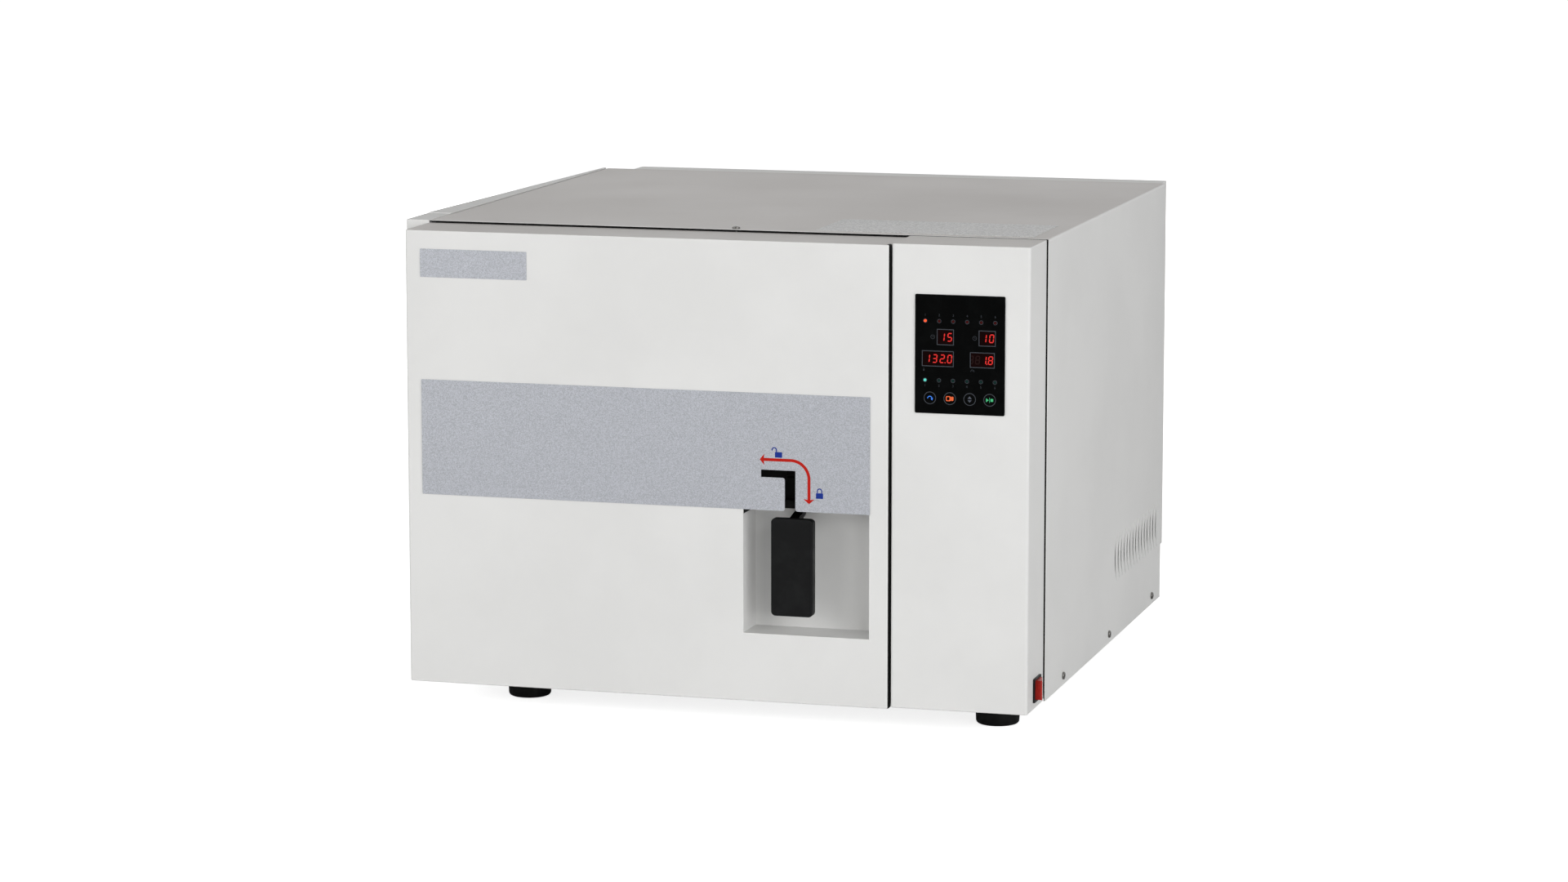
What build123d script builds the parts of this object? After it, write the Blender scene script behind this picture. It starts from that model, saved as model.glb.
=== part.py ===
from build123d import *
import math
import os

os.makedirs("parts", exist_ok=True)

# A bench-top steam autoclave: a cabinet on four feet, a boxed door on a left-hand hinge and a
# control fascia beside it.
# All sizes are millimetres. While the pieces are made, x runs right from the door's left side,
# y runs back from the door's front face and z runs up from the floor.
# The last section moves everything to the middle of the footprint.

# Driving dimensions of the cabinet
FOOT_HEIGHT = 33.0
FOOT_RADIUS = 25.0
COVER_WIDTH = 699.0
COVER_HEIGHT = 500.0
COVER_FRONT = 76.0
COVER_REAR = 702.0
SHEET = 1.5
HEM = 1.8
HEM_DEPTH = 10.0
COVER_BEND = 3.0

# Driving dimensions of the door and the control fascia
DOOR_WIDTH = 544.3
DOOR_DEPTH = 75.5
DOOR_BOTTOM = 30.8
PANEL_HEIGHT = 499.5
FASCIA_LEFT = 546.6
FASCIA_WIDTH = 149.9
FASCIA_BOTTOM = 32.7
FRONT_EDGE_RADIUS = 3.0

# Driving dimensions of the boxes behind and beside the cabinet
REAR_BOX_INSET = 16.6
REAR_BOX_DEPTH = 96.0
REAR_BOX_BOTTOM = 82.0
REAR_BOX_DROP = 6.2
POST_WIDTH = 27.0
POST_DEPTH = 70.0
SIDE_BOX_REAR_WIDTH = 3.0
SIDE_BOX_RISE = 0.7

# Driving dimensions of the door's furniture
BAND_LEFT = 17.6
BAND_RIGHT = 523.5
BAND_TOP = 367.1
BAND_BOTTOM = 240.6
BAND_THICKNESS = 1.0
SLOT_RIGHT = 441.3
SLOT_WIDTH = 11.9
SLOT_LEFT = 403.0
SLOT_TOP = 284.5
SLOT_HEIGHT = 8.1
RECESS_LEFT = 382.8
RECESS_RIGHT = 522.8
RECESS_BOTTOM = 105.5
RECESS_DEPTH = 47.0
POCKET_DEPTH = 54.0
POCKET_BOTTOM = 244.0
POCKET_TOP = 316.0
PIVOT_DEPTH = 42.5
LATCH_TRAVEL = 26.0

# Driving dimensions of the hinge
HINGE_X = -14.0
HINGE_Y = 66.0
HINGE_PIN_RADIUS = 4.0
HINGE_BARREL_RADIUS = 8.0
HINGE_HEIGHTS = (118.0, 446.0)
KNUCKLE_HEIGHT = 20.0
RUNNING_GAP = 0.05

# Driving dimensions of the pressure vessel
CHAMBER_X = 272.0
CHAMBER_Z = 285.0
CHAMBER_RADIUS = 165.0
CHAMBER_WALL = 3.0
CHAMBER_FRONT = 84.3
CHAMBER_LENGTH = 540.0
CHAMBER_DISH = 42.0
FLANGE_RADIUS = 200.0
FLANGE_THICKNESS = 16.0
LAGGING = 22.0

# Driving dimensions of the control panel
OVERLAY_WIDTH = 97.3
OVERLAY_HEIGHT = 126.5
OVERLAY_LEFT = 572.5
OVERLAY_TOP_DROP = 52.7
OVERLAY_THICKNESS = 1.2
BUTTON_RADIUS = 5.6
BUTTON_PROUD = 0.4
LED_RADIUS = 1.5
ROCKER_Y = 43.0
ROCKER_Z = 53.5
ROCKER_PIVOT_X = 695.0
ROCKER_LEAN = 13.0

# Places worked out from the driving dimensions
COVER_BOTTOM = FOOT_HEIGHT
COVER_TOP = FOOT_HEIGHT + COVER_HEIGHT
DOOR_TOP = DOOR_BOTTOM + PANEL_HEIGHT
FASCIA_RIGHT = FASCIA_LEFT + FASCIA_WIDTH
FASCIA_TOP = FASCIA_BOTTOM + PANEL_HEIGHT
SLOT_MIDDLE = SLOT_RIGHT - SLOT_WIDTH / 2
PIVOT_Z = SLOT_TOP - SLOT_HEIGHT / 2
OVERLAY_TOP = FASCIA_TOP - OVERLAY_TOP_DROP
OVERLAY_MIDDLE = OVERLAY_LEFT + OVERLAY_WIDTH / 2
FRAME_Y = 88.0
FRAME_SHEET = 2.0
FLOOR_TOP = COVER_BOTTOM + SHEET

nodes = {}


def block(x, y, z):
    """A box between two corners, given as three pairs of limits."""
    size = Box(x[1] - x[0], y[1] - y[0], z[1] - z[0])
    return Pos((x[0] + x[1]) / 2, (y[0] + y[1]) / 2, (z[0] + z[1]) / 2) * size


def rod_x(x, y, z, radius):
    return Pos((x[0] + x[1]) / 2, y, z) * Rot(0, 90, 0) * Cylinder(radius, x[1] - x[0])


def rod_y(x, y, z, radius):
    return Pos(x, (y[0] + y[1]) / 2, z) * Rot(90, 0, 0) * Cylinder(radius, y[1] - y[0])


def rod_z(x, y, z, radius):
    return Pos(x, y, (z[0] + z[1]) / 2) * Cylinder(radius, z[1] - z[0])


def prism_z(points, z):
    """A prism standing on an outline in the x-y plane."""
    face = make_face(Polyline(*[(x, y, z[0]) for x, y in points], close=True))
    return extrude(face, amount=z[1] - z[0], dir=(0, 0, 1))


def prism_x(points, x):
    """A prism lying along x on an outline in the y-z plane."""
    face = make_face(Polyline(*[(x[0], y, z) for y, z in points], close=True))
    return extrude(face, amount=x[1] - x[0], dir=(1, 0, 0))


def upright_edges(shape, x=None, y=None):
    """The edges along z that lie at the given x or y, or at both."""
    found = shape.edges().filter_by(Axis.Z)
    if x is not None:
        found = found.filter_by(lambda edge: abs(edge.center().X - x) < 0.01)
    if y is not None:
        found = found.filter_by(lambda edge: abs(edge.center().Y - y) < 0.01)
    return found


def pan_head(radius, height):
    """A pan screw head on z = 0 with a cross recess in its top."""
    head = Pos(0, 0, height / 2) * Cylinder(radius, height)
    head = fillet(head.edges().group_by(Axis.Z)[-1], height * 0.55)
    bar = Box(radius * 1.15, radius * 0.28, height)
    cross = bar + Rot(0, 0, 90) * bar
    return head - Pos(0, 0, height * 0.9) * cross


def screws(places, turn, radius=4.25, height=2.2, shank=1.7, length=6.0):
    """A group of pan-head screws, each turned so that its head faces outwards."""
    screw = pan_head(radius, height) + Pos(0, 0, -length / 2) * Cylinder(shank, length)
    return [Pos(*place) * turn * screw for place in places]


def screw_holes(places, turn, shank=1.75, length=8.0):
    hole = Cylinder(shank, length)
    return [Pos(*place) * turn * hole for place in places]


def cut_all(shape, tools):
    for tool in tools:
        shape = shape - tool
    return shape


FACE_RIGHT = Rot(0, 90, 0)
FACE_LEFT = Rot(0, -90, 0)
FACE_BACK = Rot(-90, 0, 0)
FACE_FRONT = Rot(90, 0, 0)
FACE_UP = Rot(0, 0, 0)

# Cover screws: three along the foot of each side, one at the top of the hem and a row on the back
SIDE_SCREW_DEPTHS = (164.0, 406.0, 651.0)
SIDE_SCREW_Z = COVER_BOTTOM + 10.5
TOP_SCREW = (350.0, COVER_FRONT + 10.0, COVER_TOP)
right_screw_places = [(COVER_WIDTH, depth, SIDE_SCREW_Z) for depth in SIDE_SCREW_DEPTHS]
left_screw_places = [(0.0, depth, SIDE_SCREW_Z) for depth in SIDE_SCREW_DEPTHS]

# Main cover: a wrap of sheet over the left side, the top and the right side, hemmed at the front,
# with a field of fifteen louvres low on the right side
LOUVRE_COUNT = 15
LOUVRE_FIRST = 447.6
LOUVRE_PITCH = 16.69
LOUVRE_BOTTOM = 98.2
LOUVRE_HEIGHT = 54.2
LOUVRE_BOW = 11.5
LOUVRE_LIFT = 1.6
LOUVRE_SHEET = 0.9
LOUVRE_GAP = 0.4
LOUVRE_ROOT = 0.3


def louvre_plug(grow, root):
    """A D-shaped plug through the right side: bowed towards the front, straight at its rear."""
    half = LOUVRE_HEIGHT / 2
    radius = (half ** 2 + LOUVRE_BOW ** 2) / (2 * LOUVRE_BOW)
    width = (COVER_WIDTH - 2 * SHEET, COVER_WIDTH + 2 * SHEET)
    drum = rod_x(width, radius - LOUVRE_BOW, LOUVRE_BOTTOM + half, radius + grow)
    return drum & block(width, (-radius, root), (0, COVER_TOP))


def make_louvre_scale():
    """The tongue of one louvre: flush at its straight rear edge, lifted at its bowed front edge."""
    front = -LOUVRE_BOW
    lifted = COVER_WIDTH + LOUVRE_LIFT
    slab = prism_z(
        [
            (COVER_WIDTH - LOUVRE_SHEET, LOUVRE_ROOT),
            (COVER_WIDTH, LOUVRE_ROOT),
            (lifted, front - LOUVRE_ROOT),
            (lifted - LOUVRE_SHEET, front - LOUVRE_ROOT),
        ],
        (0, COVER_TOP),
    )
    return slab & louvre_plug(0, LOUVRE_ROOT)


def make_main_cover():
    outer = block((0, COVER_WIDTH), (COVER_FRONT, COVER_REAR), (COVER_BOTTOM, COVER_TOP))
    top_edges = outer.edges().filter_by(Axis.Y).group_by(Axis.Z)[-1]
    outer = fillet(top_edges, COVER_BEND)
    inner = block(
        (SHEET, COVER_WIDTH - SHEET),
        (COVER_FRONT + HEM_DEPTH, COVER_REAR + 1),
        (COVER_BOTTOM - 1, COVER_TOP - SHEET),
    )
    mouth = block(
        (HEM, COVER_WIDTH - HEM),
        (COVER_FRONT - 1, COVER_FRONT + HEM_DEPTH + 1),
        (COVER_BOTTOM - 1, COVER_TOP - HEM),
    )
    cover = outer - inner - mouth
    slot = louvre_plug(LOUVRE_GAP, 0)
    scale = make_louvre_scale()
    for index in range(LOUVRE_COUNT):
        step = Pos(0, LOUVRE_FIRST + index * LOUVRE_PITCH, 0)
        cover = cover - step * slot + step * scale
    cover = cut_all(cover, screw_holes(right_screw_places, FACE_RIGHT))
    cover = cut_all(cover, screw_holes(left_screw_places, FACE_LEFT))
    return cut_all(cover, screw_holes([TOP_SCREW], FACE_UP))


nodes["main_cover"] = make_main_cover()

# Base pan: a floor sheet with its rim turned up inside the cover
FOOT_PLACES = [(x, y) for x in (103.0, 640.0) for y in (105.0, 660.0)]
PAN_RIM = 22.0
PAN_FRONT = FRAME_Y
PAN_REAR = COVER_REAR - SHEET
PAN_LEFT = HEM
PAN_RIGHT = COVER_WIDTH - HEM


def make_base_pan():
    pan = block((PAN_LEFT, PAN_RIGHT), (PAN_FRONT, PAN_REAR), (COVER_BOTTOM, COVER_BOTTOM + PAN_RIM))
    pan = pan - block(
        (PAN_LEFT + SHEET, PAN_RIGHT - SHEET),
        (PAN_FRONT + SHEET, PAN_REAR - SHEET),
        (FLOOR_TOP, COVER_TOP),
    )
    vents = [
        rod_z(x, y, (COVER_BOTTOM - 1, FLOOR_TOP + 1), 4.0)
        for x in range(200, 560, 24)
        for y in (560, 584)
    ]
    pan = cut_all(pan, vents)
    pan = cut_all(pan, screw_holes(right_screw_places, FACE_RIGHT, length=16))
    pan = cut_all(pan, screw_holes(left_screw_places, FACE_LEFT, length=16))
    holes = [rod_z(x, y, (0, FLOOR_TOP + 1), 3.1) for x, y in FOOT_PLACES]
    return cut_all(pan, holes)


nodes["base_pan"] = make_base_pan()

# Feet: rubber bumpers, each held by one screw from below
FOOT_TAPER = 1.5


def make_foot(x, y):
    foot = Cone(FOOT_RADIUS - FOOT_TAPER, FOOT_RADIUS, FOOT_HEIGHT)
    foot = Pos(x, y, FOOT_HEIGHT / 2) * foot
    foot = fillet(foot.edges().group_by(Axis.Z)[0], 4.0)
    foot = foot - rod_z(x, y, (-1, 12), 7.0)
    return foot - rod_z(x, y, (0, FOOT_HEIGHT + 1), 3.1)


def make_foot_screw(x, y):
    head = rod_z(x, y, (7.0, 12.0), 5.0) - rod_z(x, y, (6.0, 9.5), 2.4)
    nut = rod_z(x, y, (FLOOR_TOP, FLOOR_TOP + 5.0), 5.2)
    return head + rod_z(x, y, (11.0, FLOOR_TOP + 6.0), 3.0) + nut


nodes["feet"] = [make_foot(x, y) for x, y in FOOT_PLACES]
nodes["foot_screws"] = [make_foot_screw(x, y) for x, y in FOOT_PLACES]

# Front frame: the plate behind the door, with the vessel's flange in its round opening
FRAME_TOP = COVER_TOP - HEM
FRAME_LIP = 14.0


def make_front_frame():
    plate = block((HEM + SHEET, PAN_RIGHT - SHEET), (FRAME_Y + SHEET, FRAME_Y + SHEET + FRAME_SHEET),
                  (FLOOR_TOP, COVER_TOP - SHEET))
    lip = block((HEM + SHEET, PAN_RIGHT - SHEET), (FRAME_Y + SHEET, FRAME_Y + SHEET + FRAME_LIP),
                (COVER_TOP - SHEET - FRAME_SHEET, COVER_TOP - SHEET))
    frame = plate + lip
    frame = frame - rod_y(CHAMBER_X, (FRAME_Y - 5, FRAME_Y + 20), CHAMBER_Z, FLANGE_RADIUS + 1.0)
    wires = rod_y(OVERLAY_MIDDLE, (FRAME_Y - 5, FRAME_Y + 20), OVERLAY_TOP - 60, 12.0)
    return cut_all(frame - wires, screw_holes([TOP_SCREW], FACE_UP, length=10))


nodes["front_frame"] = make_front_frame()

# Keeper: the slotted strike that the door's lock bar reaches for, inside the fascia
LOCK_BAR_Y = 60.0
LOCK_BAR_HALF = 6.0
KEEPER_X = FASCIA_LEFT + SHEET


def make_keeper():
    strike = block((KEEPER_X, KEEPER_X + 4), (44, FRAME_Y + SHEET), (PIVOT_Z - 30, PIVOT_Z + 30))
    foot = block((KEEPER_X, KEEPER_X + 24), (FRAME_Y + SHEET - 4, FRAME_Y + SHEET),
                 (PIVOT_Z - 30, PIVOT_Z + 30))
    slot = block((KEEPER_X - 1, KEEPER_X + 5), (LOCK_BAR_Y - 6, LOCK_BAR_Y + 6),
                 (PIVOT_Z - 10, PIVOT_Z + 10))
    return strike + foot - slot


nodes["lock_keeper"] = make_keeper()

# Hinge post cover: a narrow box in front of the left side that hides the hinge brackets
POST_REAR = COVER_FRONT + POST_DEPTH


def make_post_cover():
    outer = block((-POST_WIDTH, 0), (COVER_FRONT, POST_REAR), (COVER_BOTTOM, COVER_TOP))
    outer = fillet(upright_edges(outer, x=-POST_WIDTH), 2.5)
    inner = block((-POST_WIDTH + SHEET, 1), (COVER_FRONT + SHEET, POST_REAR - SHEET),
                  (COVER_BOTTOM + SHEET, COVER_TOP - SHEET))
    slots = [
        block((HINGE_X - 5.4, HINGE_X + 5.4), (COVER_FRONT - 1, COVER_FRONT + 5), (z - 10.4, z + 10.4))
        for z in HINGE_HEIGHTS
    ]
    return cut_all(outer - inner, slots)


nodes["hinge_post_cover"] = make_post_cover()

# Fixed hinge brackets: one knuckle each on an arm that runs back to a plate inside the post


def make_hinge_bracket(z):
    half = KNUCKLE_HEIGHT / 2
    arm = block((HINGE_X - 5, HINGE_X + 5), (HINGE_Y, POST_REAR - 20), (z - half, z + half))
    plate = block((HINGE_X - 5, 0), (COVER_FRONT + 14, POST_REAR - 20), (z - 32, z + 32))
    knuckle = rod_z(HINGE_X, HINGE_Y, (z - half, z + half), HINGE_BARREL_RADIUS)
    bore = rod_z(HINGE_X, HINGE_Y, (z - half - 1, z + half + 1), HINGE_PIN_RADIUS + RUNNING_GAP)
    return arm + plate + knuckle - bore


nodes["hinge_brackets"] = [make_hinge_bracket(z) for z in HINGE_HEIGHTS]

# Left side box: a shallow cover over the pipework, wide at the post and narrow at the rear
SIDE_BOX_BOTTOM = REAR_BOX_BOTTOM
SIDE_BOX_TOP = COVER_TOP + SIDE_BOX_RISE


def make_side_box():
    wide, narrow = POST_WIDTH, SIDE_BOX_REAR_WIDTH
    outer = prism_z(
        [(0, POST_REAR), (-wide, POST_REAR), (-narrow, COVER_REAR), (0, COVER_REAR)],
        (SIDE_BOX_BOTTOM, SIDE_BOX_TOP),
    )
    wall = 1.2
    inner = prism_z(
        [(1, POST_REAR + wall), (-wide + wall, POST_REAR + wall),
         (-narrow + wall, COVER_REAR - wall), (1, COVER_REAR - wall)],
        (SIDE_BOX_BOTTOM + wall, SIDE_BOX_TOP - wall),
    )
    return outer - inner


nodes["left_side_box"] = make_side_box()

# Rear panel and the box on its back that holds the fan and the condenser
REAR_BOX_LEFT = REAR_BOX_INSET
REAR_BOX_RIGHT = COVER_WIDTH - REAR_BOX_INSET
REAR_BOX_TOP = COVER_TOP - REAR_BOX_DROP
REAR_BOX_REAR = COVER_REAR + REAR_BOX_DEPTH
FAN_X = 190.0
FAN_Z = 330.0
FAN_RADIUS = 58.0
FAN_SQUARE = 120.0
INLET_X = 560.0
INLET_Z = 66.0
SPIGOT_X = 120.0
SPIGOT_Z = 60.0
SPIGOT_RADIUS = 6.0
SPIGOT_LENGTH = 40.0


def make_rear_panel():
    panel = block((SHEET, COVER_WIDTH - SHEET), (PAN_REAR, COVER_REAR), (COVER_BOTTOM, COVER_TOP - SHEET))
    panel = panel - rod_y(FAN_X, (PAN_REAR - 1, COVER_REAR + 1), FAN_Z, FAN_RADIUS)
    panel = panel - block((INLET_X - 14, INLET_X + 14), (PAN_REAR - 1, COVER_REAR + 1),
                          (INLET_Z - 10, INLET_Z + 10))
    return panel - rod_y(SPIGOT_X, (PAN_REAR - 1, COVER_REAR + 1), SPIGOT_Z, 5.0)


nodes["rear_panel"] = make_rear_panel()

VENT_ROWS = 12
VENT_PITCH = 11.0
VENT_LENGTH = 46.0
REAR_SCREW_Z = (REAR_BOX_BOTTOM + 12, REAR_BOX_TOP - 12)
rear_screw_places = [
    (x, REAR_BOX_REAR, z)
    for x in (REAR_BOX_LEFT + 14, (REAR_BOX_LEFT + REAR_BOX_RIGHT) / 2, REAR_BOX_RIGHT - 14)
    for z in REAR_SCREW_Z
]


def vent_slots(left, bottom):
    """Rows of round-ended slots through the back of the rear box."""
    slots = []
    for row in range(VENT_ROWS):
        z = bottom + row * VENT_PITCH
        slot = block((left, left + VENT_LENGTH), (REAR_BOX_REAR - 9, REAR_BOX_REAR + 9), (z - 2, z + 2))
        ends = [rod_y(x, (REAR_BOX_REAR - 9, REAR_BOX_REAR + 9), z, 2.0) for x in (left, left + VENT_LENGTH)]
        slots.append(slot + ends[0] + ends[1])
    return slots


def make_rear_box():
    outer = block((REAR_BOX_LEFT, REAR_BOX_RIGHT), (COVER_REAR, REAR_BOX_REAR), (REAR_BOX_BOTTOM, REAR_BOX_TOP))
    outer = fillet(upright_edges(outer, y=REAR_BOX_REAR), 2.5)
    inner = block(
        (REAR_BOX_LEFT + SHEET, REAR_BOX_RIGHT - SHEET),
        (COVER_REAR - 1, REAR_BOX_REAR - SHEET),
        (REAR_BOX_BOTTOM + SHEET, REAR_BOX_TOP - SHEET),
    )
    box = outer - inner
    box = box - rod_y(FAN_X, (REAR_BOX_REAR - 9, REAR_BOX_REAR + 1), FAN_Z, FAN_RADIUS - 2)
    for left in (360.0, 430.0, 500.0, 570.0):
        box = cut_all(box, vent_slots(left, 150.0))
    return cut_all(box, screw_holes(rear_screw_places, FACE_BACK))


nodes["rear_box"] = make_rear_box()
nodes["case_screws"] = (
    screws(right_screw_places, FACE_RIGHT)
    + screws(left_screw_places, FACE_LEFT)
    + screws([TOP_SCREW], FACE_UP)
    + screws(rear_screw_places, FACE_BACK)
)

# Fan: a square frame behind the grille, its rotor and the wire guard
FAN_REAR = REAR_BOX_REAR - SHEET
FAN_FRONT = FAN_REAR - 38.0
FAN_HUB_RADIUS = 20.0
FAN_SHAFT_RADIUS = 3.0
BLADE_REACH = 51.0
BLADE_COUNT = 7


def make_fan_frame():
    half = FAN_SQUARE / 2
    frame = block((FAN_X - half, FAN_X + half), (FAN_FRONT, FAN_REAR), (FAN_Z - half, FAN_Z + half))
    frame = fillet(frame.edges().filter_by(Axis.Y), 5.0)
    frame = frame - rod_y(FAN_X, (FAN_FRONT - 1, FAN_REAR + 1), FAN_Z, FAN_RADIUS - 1.0)
    hub = rod_y(FAN_X, (FAN_FRONT, FAN_FRONT + 7), FAN_Z, FAN_HUB_RADIUS)
    spoke = block((FAN_X - 3, FAN_X + 3), (FAN_FRONT, FAN_FRONT + 4), (FAN_Z - FAN_RADIUS, FAN_Z + FAN_RADIUS))
    cross = block((FAN_X - FAN_RADIUS, FAN_X + FAN_RADIUS), (FAN_FRONT, FAN_FRONT + 4), (FAN_Z - 3, FAN_Z + 3))
    bore = rod_y(FAN_X, (FAN_FRONT - 1, FAN_FRONT + 8), FAN_Z, FAN_SHAFT_RADIUS + RUNNING_GAP)
    return frame + hub + spoke + cross - bore


def make_fan_rotor():
    front, rear = FAN_FRONT + 8.0, FAN_REAR - 6.0
    hub = rod_y(FAN_X, (front, rear), FAN_Z, FAN_HUB_RADIUS)
    hub = fillet(hub.edges().group_by(Axis.Y)[-1], 3.0)
    rotor = hub + rod_y(FAN_X, (FAN_FRONT + 1, front + 2), FAN_Z, FAN_SHAFT_RADIUS)
    root = FAN_HUB_RADIUS - 2
    blade = Pos(0, 0, (root + BLADE_REACH) / 2) * Rot(0, 0, 38) * Box(27, 2.4, BLADE_REACH - root)
    for index in range(BLADE_COUNT):
        turn = Rot(0, index * 360 / BLADE_COUNT, 0)
        rotor = rotor + Pos(FAN_X, (front + rear) / 2, FAN_Z) * turn * blade
    return rotor


def make_fan_guard():
    """Four wire rings welded to two crossed flat bars, outside the fan opening."""
    wire = 1.2
    rings = REAR_BOX_REAR + 2 * wire
    guard = None
    for angle in (45, 135):
        bar = Pos(FAN_X, REAR_BOX_REAR + wire / 2, FAN_Z) * Rot(0, angle, 0) * Box(5.0, wire, 2 * 64.0)
        guard = bar if guard is None else guard + bar
    for radius in (18.0, 32.0, 46.0, 60.0):
        guard = guard + Pos(FAN_X, rings - wire * 0.3, FAN_Z) * Rot(90, 0, 0) * Torus(radius, wire)
    return guard


nodes["fan_frame"] = make_fan_frame()
nodes["fan_rotor"] = make_fan_rotor()
nodes["fan_guard"] = make_fan_guard()

# Condenser: a finned block that the fan blows through
CONDENSER = ((340.0, 640.0), (712.0, 762.0), (130.0, 300.0))


def make_condenser():
    (left, right), (front, rear), (bottom, top) = CONDENSER
    core = None
    for row in range(5):
        z = bottom + 17 + row * 34
        tube = rod_x((left, right), (front + rear) / 2, z, 6.0)
        core = tube if core is None else core + tube
    for index in range(16):
        x = left + 6 + index * (right - left - 14) / 15
        core = core + block((x, x + 2), (front, rear), (bottom, top))
    return core


nodes["condenser"] = make_condenser()

# Rear fittings below the rear box: the power inlet and the drain spigot


def make_power_inlet():
    plate = block((INLET_X - 25, INLET_X + 25), (COVER_REAR, COVER_REAR + 3), (INLET_Z - 15, INLET_Z + 15))
    plate = fillet(plate.edges().filter_by(Axis.Y), 4.0)
    body = block((INLET_X - 13.5, INLET_X + 13.5), (PAN_REAR - 24, COVER_REAR), (INLET_Z - 9.5, INLET_Z + 9.5))
    socket = block((INLET_X - 12, INLET_X + 12), (COVER_REAR - 15, COVER_REAR + 4), (INLET_Z - 8, INLET_Z + 8))
    inlet = plate + body - socket
    for dx, dz in ((-7, -2.5), (0, 2.5), (7, -2.5)):
        pin = block((INLET_X + dx - 2, INLET_X + dx + 2), (COVER_REAR - 16, COVER_REAR - 1),
                    (INLET_Z + dz - 1, INLET_Z + dz + 1))
        inlet = inlet + pin
    return inlet


def make_drain_spigot():
    """A hexagon nut against the rear panel and a plain tube that a drain hose is clamped over."""
    y = COVER_REAR
    nut = Pos(SPIGOT_X, y, SPIGOT_Z) * Rot(-90, 0, 0) * extrude(RegularPolygon(11.0, 6), amount=8)
    tail = rod_y(SPIGOT_X, (y - 12, y + 8), SPIGOT_Z, 4.8)
    tube = rod_y(SPIGOT_X, (y + 7, y + SPIGOT_LENGTH), SPIGOT_Z, SPIGOT_RADIUS)
    tube = chamfer(tube.edges().group_by(Axis.Y)[-1], 0.8)
    return nut + tail + tube - rod_y(SPIGOT_X, (y - 13, y + SPIGOT_LENGTH + 1), SPIGOT_Z, 3.5)


nodes["power_inlet"] = make_power_inlet()
nodes["drain_spigot"] = make_drain_spigot()

# Pressure vessel: a drawn cylinder with a dished back, its front flange, heater band and lagging
CHAMBER_REAR = CHAMBER_FRONT + CHAMBER_LENGTH


def dished_drum(radius, front, rear, dish):
    """A drum along y with a rounded back, as one turned solid."""
    bow = (radius ** 2 + dish ** 2) / (2 * dish)
    centre = rear + dish - bow
    middle_angle = math.asin(radius / bow) / 2
    middle = (bow * math.sin(middle_angle), centre + bow * math.cos(middle_angle))
    outline = (
        Line((0, front), (radius, front))
        + Line((radius, front), (radius, rear))
        + ThreePointArc((radius, rear), middle, (0, rear + dish))
        + Line((0, rear + dish), (0, front))
    )
    drum = revolve(make_face(outline), Axis.Y)
    return Pos(CHAMBER_X, 0, CHAMBER_Z) * drum


def make_vessel():
    shell = dished_drum(CHAMBER_RADIUS + CHAMBER_WALL, CHAMBER_FRONT + 4, CHAMBER_REAR, CHAMBER_DISH)
    hollow = dished_drum(CHAMBER_RADIUS, CHAMBER_FRONT - 1, CHAMBER_REAR - CHAMBER_WALL, CHAMBER_DISH)
    return shell - hollow


def make_flange():
    ring = rod_y(CHAMBER_X, (CHAMBER_FRONT, CHAMBER_FRONT + FLANGE_THICKNESS), CHAMBER_Z, FLANGE_RADIUS)
    front_edges = ring.edges().group_by(Axis.Y)[0]
    ring = fillet(front_edges, 3.0)
    bore = rod_y(CHAMBER_X, (CHAMBER_FRONT - 1, CHAMBER_FRONT + 60), CHAMBER_Z, CHAMBER_RADIUS)
    seat = rod_y(CHAMBER_X, (CHAMBER_FRONT + 4, CHAMBER_FRONT + 60), CHAMBER_Z, CHAMBER_RADIUS + CHAMBER_WALL)
    return ring - bore - seat


def make_heater_band():
    outer = rod_y(CHAMBER_X, (220, 420), CHAMBER_Z, CHAMBER_RADIUS + CHAMBER_WALL + 2)
    inner = rod_y(CHAMBER_X, (219, 421), CHAMBER_Z, CHAMBER_RADIUS + CHAMBER_WALL)
    return outer - inner


def make_lagging():
    front, rear = CHAMBER_FRONT + FLANGE_THICKNESS + 4, CHAMBER_REAR
    outer = dished_drum(CHAMBER_RADIUS + CHAMBER_WALL + LAGGING, front, rear, CHAMBER_DISH + 20)
    inner = dished_drum(CHAMBER_RADIUS + CHAMBER_WALL + 2.2, front - 1, rear + 0.2, CHAMBER_DISH + 0.5)
    ports = rod_z(CHAMBER_X, 500, (CHAMBER_Z, CHAMBER_Z + 230), 12)
    drain = rod_z(CHAMBER_X, 560, (CHAMBER_Z - 230, CHAMBER_Z), 9)
    return outer - inner - ports - drain


nodes["chamber_vessel"] = make_vessel()
nodes["chamber_flange"] = make_flange()
nodes["heater_band"] = make_heater_band()
nodes["lagging_jacket"] = make_lagging()

# Saddles that carry the vessel on the floor of the cabinet, and the shelf for the water tank


def make_saddle(y):
    saddle = block((CHAMBER_X - 110, CHAMBER_X + 110), (y, y + 12), (FLOOR_TOP, CHAMBER_Z - 100))
    round_seat = rod_y(CHAMBER_X, (y - 1, y + 13), CHAMBER_Z, CHAMBER_RADIUS + CHAMBER_WALL + LAGGING + 0.1)
    return saddle - round_seat


def make_tank_shelf():
    shelf = block((552, COVER_WIDTH - HEM), (120, 440), (318, 320))
    wall = block((COVER_WIDTH - HEM - 2, COVER_WIDTH - HEM), (120, 440), (280, 318))
    post = block((552, 554), (120, 440), (FLOOR_TOP, 318))
    return shelf + wall + post


nodes["support_brackets"] = [make_saddle(150.0), make_saddle(520.0), make_tank_shelf()]

# Safety valve on the vessel's top, and the drain pipe from its floor to the spigot


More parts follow.
